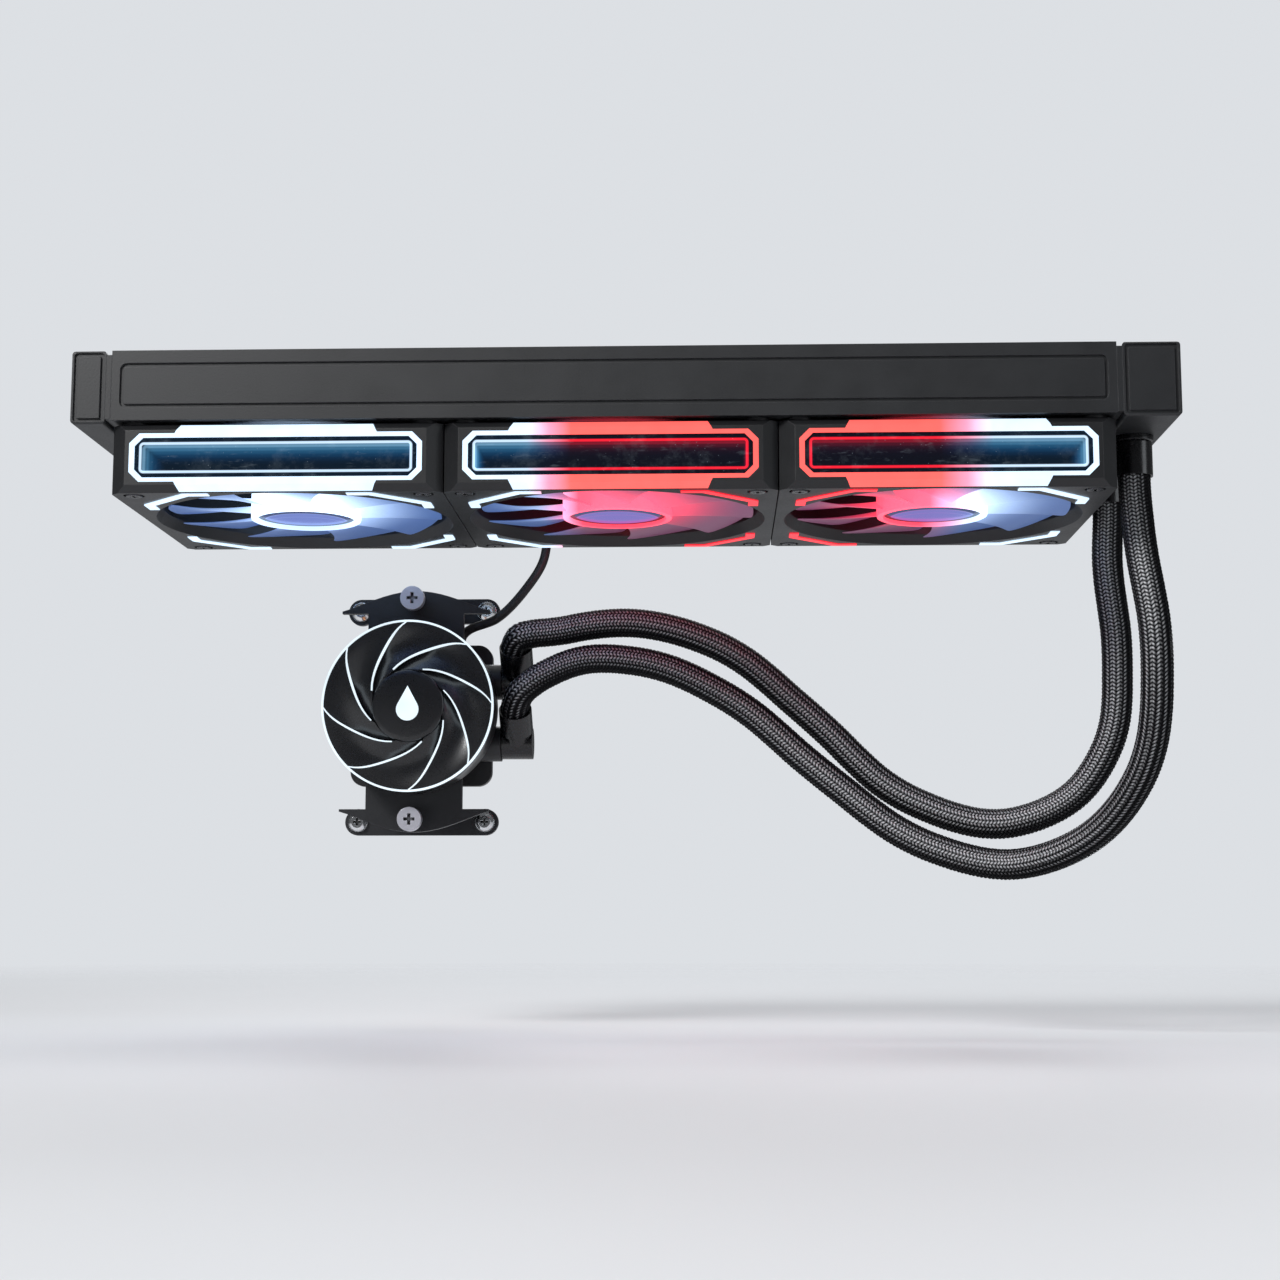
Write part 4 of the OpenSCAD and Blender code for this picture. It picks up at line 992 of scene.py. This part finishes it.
def spring(which):
    """A coil of round wire, closer at its ends."""
    node = which + "_spring"
    low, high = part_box(node)
    middle = (low + high) / 2
    coil_r = (high.x - low.x) / 2 - SPRING_WIRE
    t = np.linspace(0, 1, SPRING_TURNS * 24 + 1)
    spread = np.clip(np.minimum(t, 1 - t) * SPRING_TURNS, 0, 1)
    rise = np.cumsum(0.25 + spread)
    rise = (rise - rise[0]) / (rise[-1] - rise[0])
    angle = 2 * math.pi * SPRING_TURNS * t
    y = high.y - SPRING_WIRE - rise * (high.y - low.y - 2 * SPRING_WIRE)
    line = np.stack([middle.x + coil_r * np.cos(angle), y, middle.z + coil_r * np.sin(angle)], axis=1)
    piece = tube(node + "_coil", Path(line, 0.5 * MM), SPRING_WIRE, materials["spring_steel"], 10)
    stand_in(piece, node)
    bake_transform(piece)


spring("upper")
spring("lower")


def round_loop(half_a, half_b, corner, per_corner=5):
    """A rectangle with round corners, as (a, b) pairs."""
    pairs = []
    for i, (sign_a, sign_b) in enumerate(((1, 1), (-1, 1), (-1, -1), (1, -1))):
        for t in np.linspace(0, math.pi / 2, per_corner):
            angle = i * math.pi / 2 + t
            pairs.append((sign_a * (half_a - corner) + corner * math.cos(angle),
                          sign_b * (half_b - corner) + corner * math.sin(angle)))
    return pairs


# A plug's outline, as millimetres along it and a share of its full size: its neck, one groove and its mouth.
PLUG_NECK = ((0.0, 0.58), (0.3, 0.62), (2.0, 0.62), (2.3, 0.96), (2.6, 1.0))
PLUG_GROOVE = ((0.0, 1.0), (0.1, 0.94), (0.45, 0.94), (0.55, 1.0))
PLUG_MOUTH = ((-0.25, 1.0), (0.0, 0.96), (0.0, 0.84), (-0.2, 0.80), (-2.6, 0.80))
GROOVES_FROM = 3.2
GROOVES_END = 3.5
GROOVE_PITCH = 1.1
PLUG_CORNER = 0.8


def plug_housing(place, half_a, half_b, length):
    """A plug's grooved housing with an open mouth. place turns (a, b, along from the lead) into a point."""
    steps = list(PLUG_NECK)
    for groove in np.arange(GROOVES_FROM, length - GROOVES_END, GROOVE_PITCH):
        steps += [(groove + along, share) for along, share in PLUG_GROOVE]
    steps += [(length + along, share) for along, share in PLUG_MOUTH]
    loop = round_loop(half_a, half_b, PLUG_CORNER)
    return closed_loft([np.array([place(a * share, b * share, along) for a, b in loop]) for along, share in steps])


LEAD_SIDES = 18
SLEEVE_SWELL = 0.28


def lead(node, knots, radius, place, half_a, half_b, length):
    """A round lead through the knots, all in millimetres, with a short sleeve at its root and a plug at its end."""
    path = Path(np.array(knots) * MM, 0.8 * MM)
    angles = np.arange(LEAD_SIDES) * 2 * math.pi / LEAD_SIDES
    across, up = np.cos(angles)[:, None], np.sin(angles)[:, None]
    swell = 1 + SLEEVE_SWELL * (1 - smooth_step(3 * MM, 5 * MM, path.length))
    rings = [point + radius * MM * share * (across * normal + up * side)
             for point, share, normal, side in zip(path.points, swell, path.normal, path.side)]
    housing = plug_housing(lambda a, b, along: np.array(place(a, b, along)) * MM, half_a, half_b, length)
    piece = join_parts(node + "_lead", [closed_loft(rings), housing], materials["cable_rubber"], 40)
    stand_in(piece, node, ROOT)


# Where the leads start and end, in millimetres. The fan lead's places are measured from its own start.
PUMP_LEAD_R = 1.9
PUMP_LEAD_ROOT = np.array([-71.35, 83.0, -89.53])
PUMP_LEAD_AWAY = np.array([0.5, 0, 0.866])
PUMP_LEAD_BENDS = [(-54, 80, -78), (-42, 78, -66), (-35, 80, -54), (-33, 82, -42)]
FAN_LEAD_R = 1.6
FAN_LEAD_BENDS = [(0, 0, 0), (-10, 5.5, 1), (-40, 7, 2.5), (-62, 7, 3)]


def pump_lead():
    """The lead that leaves the pump head's side, with a plug that points up."""
    knots = [PUMP_LEAD_ROOT, PUMP_LEAD_ROOT + 6 * PUMP_LEAD_AWAY] + PUMP_LEAD_BENDS
    x, y, z = PUMP_LEAD_BENDS[-1]
    lead("pump_cable", knots, PUMP_LEAD_R, lambda a, b, along: (x + a, y + b, z - 0.5 + along), 5, 3, 12)


def fan_lead():
    """The lead along the fans' far side, with a plug that points left."""
    low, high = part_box("fan_cable")
    root = np.array([high.x / MM - FAN_LEAD_R, low.y / MM, low.z / MM + FAN_LEAD_R])
    x, y, z = root + FAN_LEAD_BENDS[-1]
    lead("fan_cable", [root + bend for bend in FAN_LEAD_BENDS], FAN_LEAD_R,
         lambda a, b, along: (x + 0.5 - along, y + a, z + b), 3, 4.5, 12.5)


pump_lead()
fan_lead()


# ---- Studio ----

FLOOR_DROP = 60 * MM
FLOOR_HALF = 4.0
SURROUND = (0.90, 0.93, 0.97)
SURROUND_SEEN = 0.8
SURROUND_REFLECTED = 0.13
CAMERA_PLACE = (35.5 * MM, -790 * MM, -204.5 * MM)
CAMERA_AIM = (4 * MM, -4 * MM)
CAMERA_LENS = 59.0
CAMERA_SENSOR = 36.0


def area_light(name, place, target, size, watts, colour=(1.0, 1.0, 1.0)):
    """A rectangular lamp at place, turned towards target."""
    light = bpy.data.lights.new(name, "AREA")
    light.shape = "RECTANGLE"
    light.size, light.size_y = size
    light.energy = watts
    light.color = colour
    thing = bpy.data.objects.new(name, light)
    bpy.context.scene.collection.objects.link(thing)
    thing.location = place
    thing.rotation_euler = (Vector(target) - Vector(place)).to_track_quat("-Z", "Y").to_euler()


def floor_finish():
    """A pale floor that fades into the surround far from the object, and is clear from below."""
    s = Shader("studio_floor")
    base = s.mix(s.noise(3.0, 2.0), (0.74, 0.75, 0.77), (0.78, 0.79, 0.81))
    x, y, _ = s.split(s.add("NewGeometry").outputs["Position"])
    away = s.hypot(x, y)
    solid = s.add("BsdfPrincipled", Base_Color=base, Roughness=0.6)
    clear = s.add("BsdfTransparent")
    faded = s.ramp(s.math("MULTIPLY", away, 0.5), [(0.16, 0.0), (0.8, 1.0)], smooth=True)
    below = s.add("NewGeometry").outputs["Backfacing"]
    mix = s.add("MixShader", Fac=s.math("MAXIMUM", faded, below))
    return s.finish(s.layered(mix, solid.outputs["BSDF"], clear.outputs["BSDF"]))


def backdrop():
    """A pale surround for the camera, and a dimmer one for reflections, so that black parts stay black."""
    world = bpy.data.worlds.new("studio")
    world.use_nodes = True
    nodes, links = world.node_tree.nodes, world.node_tree.links
    seen = nodes.new("ShaderNodeLightPath")
    strength = nodes.new("ShaderNodeMix")
    strength.inputs["A"].default_value = SURROUND_REFLECTED
    strength.inputs["B"].default_value = SURROUND_SEEN
    links.new(seen.outputs["Is Camera Ray"], strength.inputs["Factor"])
    nodes["Background"].inputs["Color"].default_value = (*SURROUND, 1.0)
    links.new(strength.outputs["Result"], nodes["Background"].inputs["Strength"])
    bpy.context.scene.world = world


def studio():
    """The floor under the object, four lamps round it and the surround."""
    low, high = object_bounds()
    middle = (low + high) / 2
    ground = low.z - FLOOR_DROP
    corners = [(x * FLOOR_HALF, y * FLOOR_HALF, ground) for x, y in ((-1, -1), (1, -1), (1, 1), (-1, 1))]
    floor = mesh_piece("studio_floor", corners, [(0, 1, 2, 3)], floor_finish())
    floor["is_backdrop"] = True
    area_light("key_light", KEY_PLACE, middle, (0.5, 0.5), 26.0)
    area_light("fill_light", (1.5, -0.9, 0.1), middle, (0.7, 1.0), 5.0, (0.90, 0.95, 1.0))
    area_light("rim_light", (0.2, 1.4, 0.8), middle, (1.6, 0.6), 12.0, (0.95, 0.97, 1.0))
    area_light("floor_light", (0.0, 0.2, 2.2), (0.0, 0.2, ground), (2.0, 2.0), 17.0)
    backdrop()
    bpy.context.scene.view_settings.view_transform = "Standard"


def camera():
    """The camera stands in front, a little below the lowest loop of the hoses, and looks slightly up."""
    low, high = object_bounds()
    data = bpy.data.cameras.new("camera")
    data.lens = CAMERA_LENS
    data.sensor_width = CAMERA_SENSOR
    data.clip_start = 0.01
    thing = bpy.data.objects.new("camera", data)
    bpy.context.scene.collection.objects.link(thing)
    thing.location = CAMERA_PLACE
    target = Vector(((low.x + high.x) / 2 + CAMERA_AIM[0], 0.0, (low.z + high.z) / 2 + CAMERA_AIM[1]))
    thing.rotation_euler = (target - thing.location).to_track_quat("-Z", "Y").to_euler()
    bpy.context.scene.camera = thing


studio()
camera()
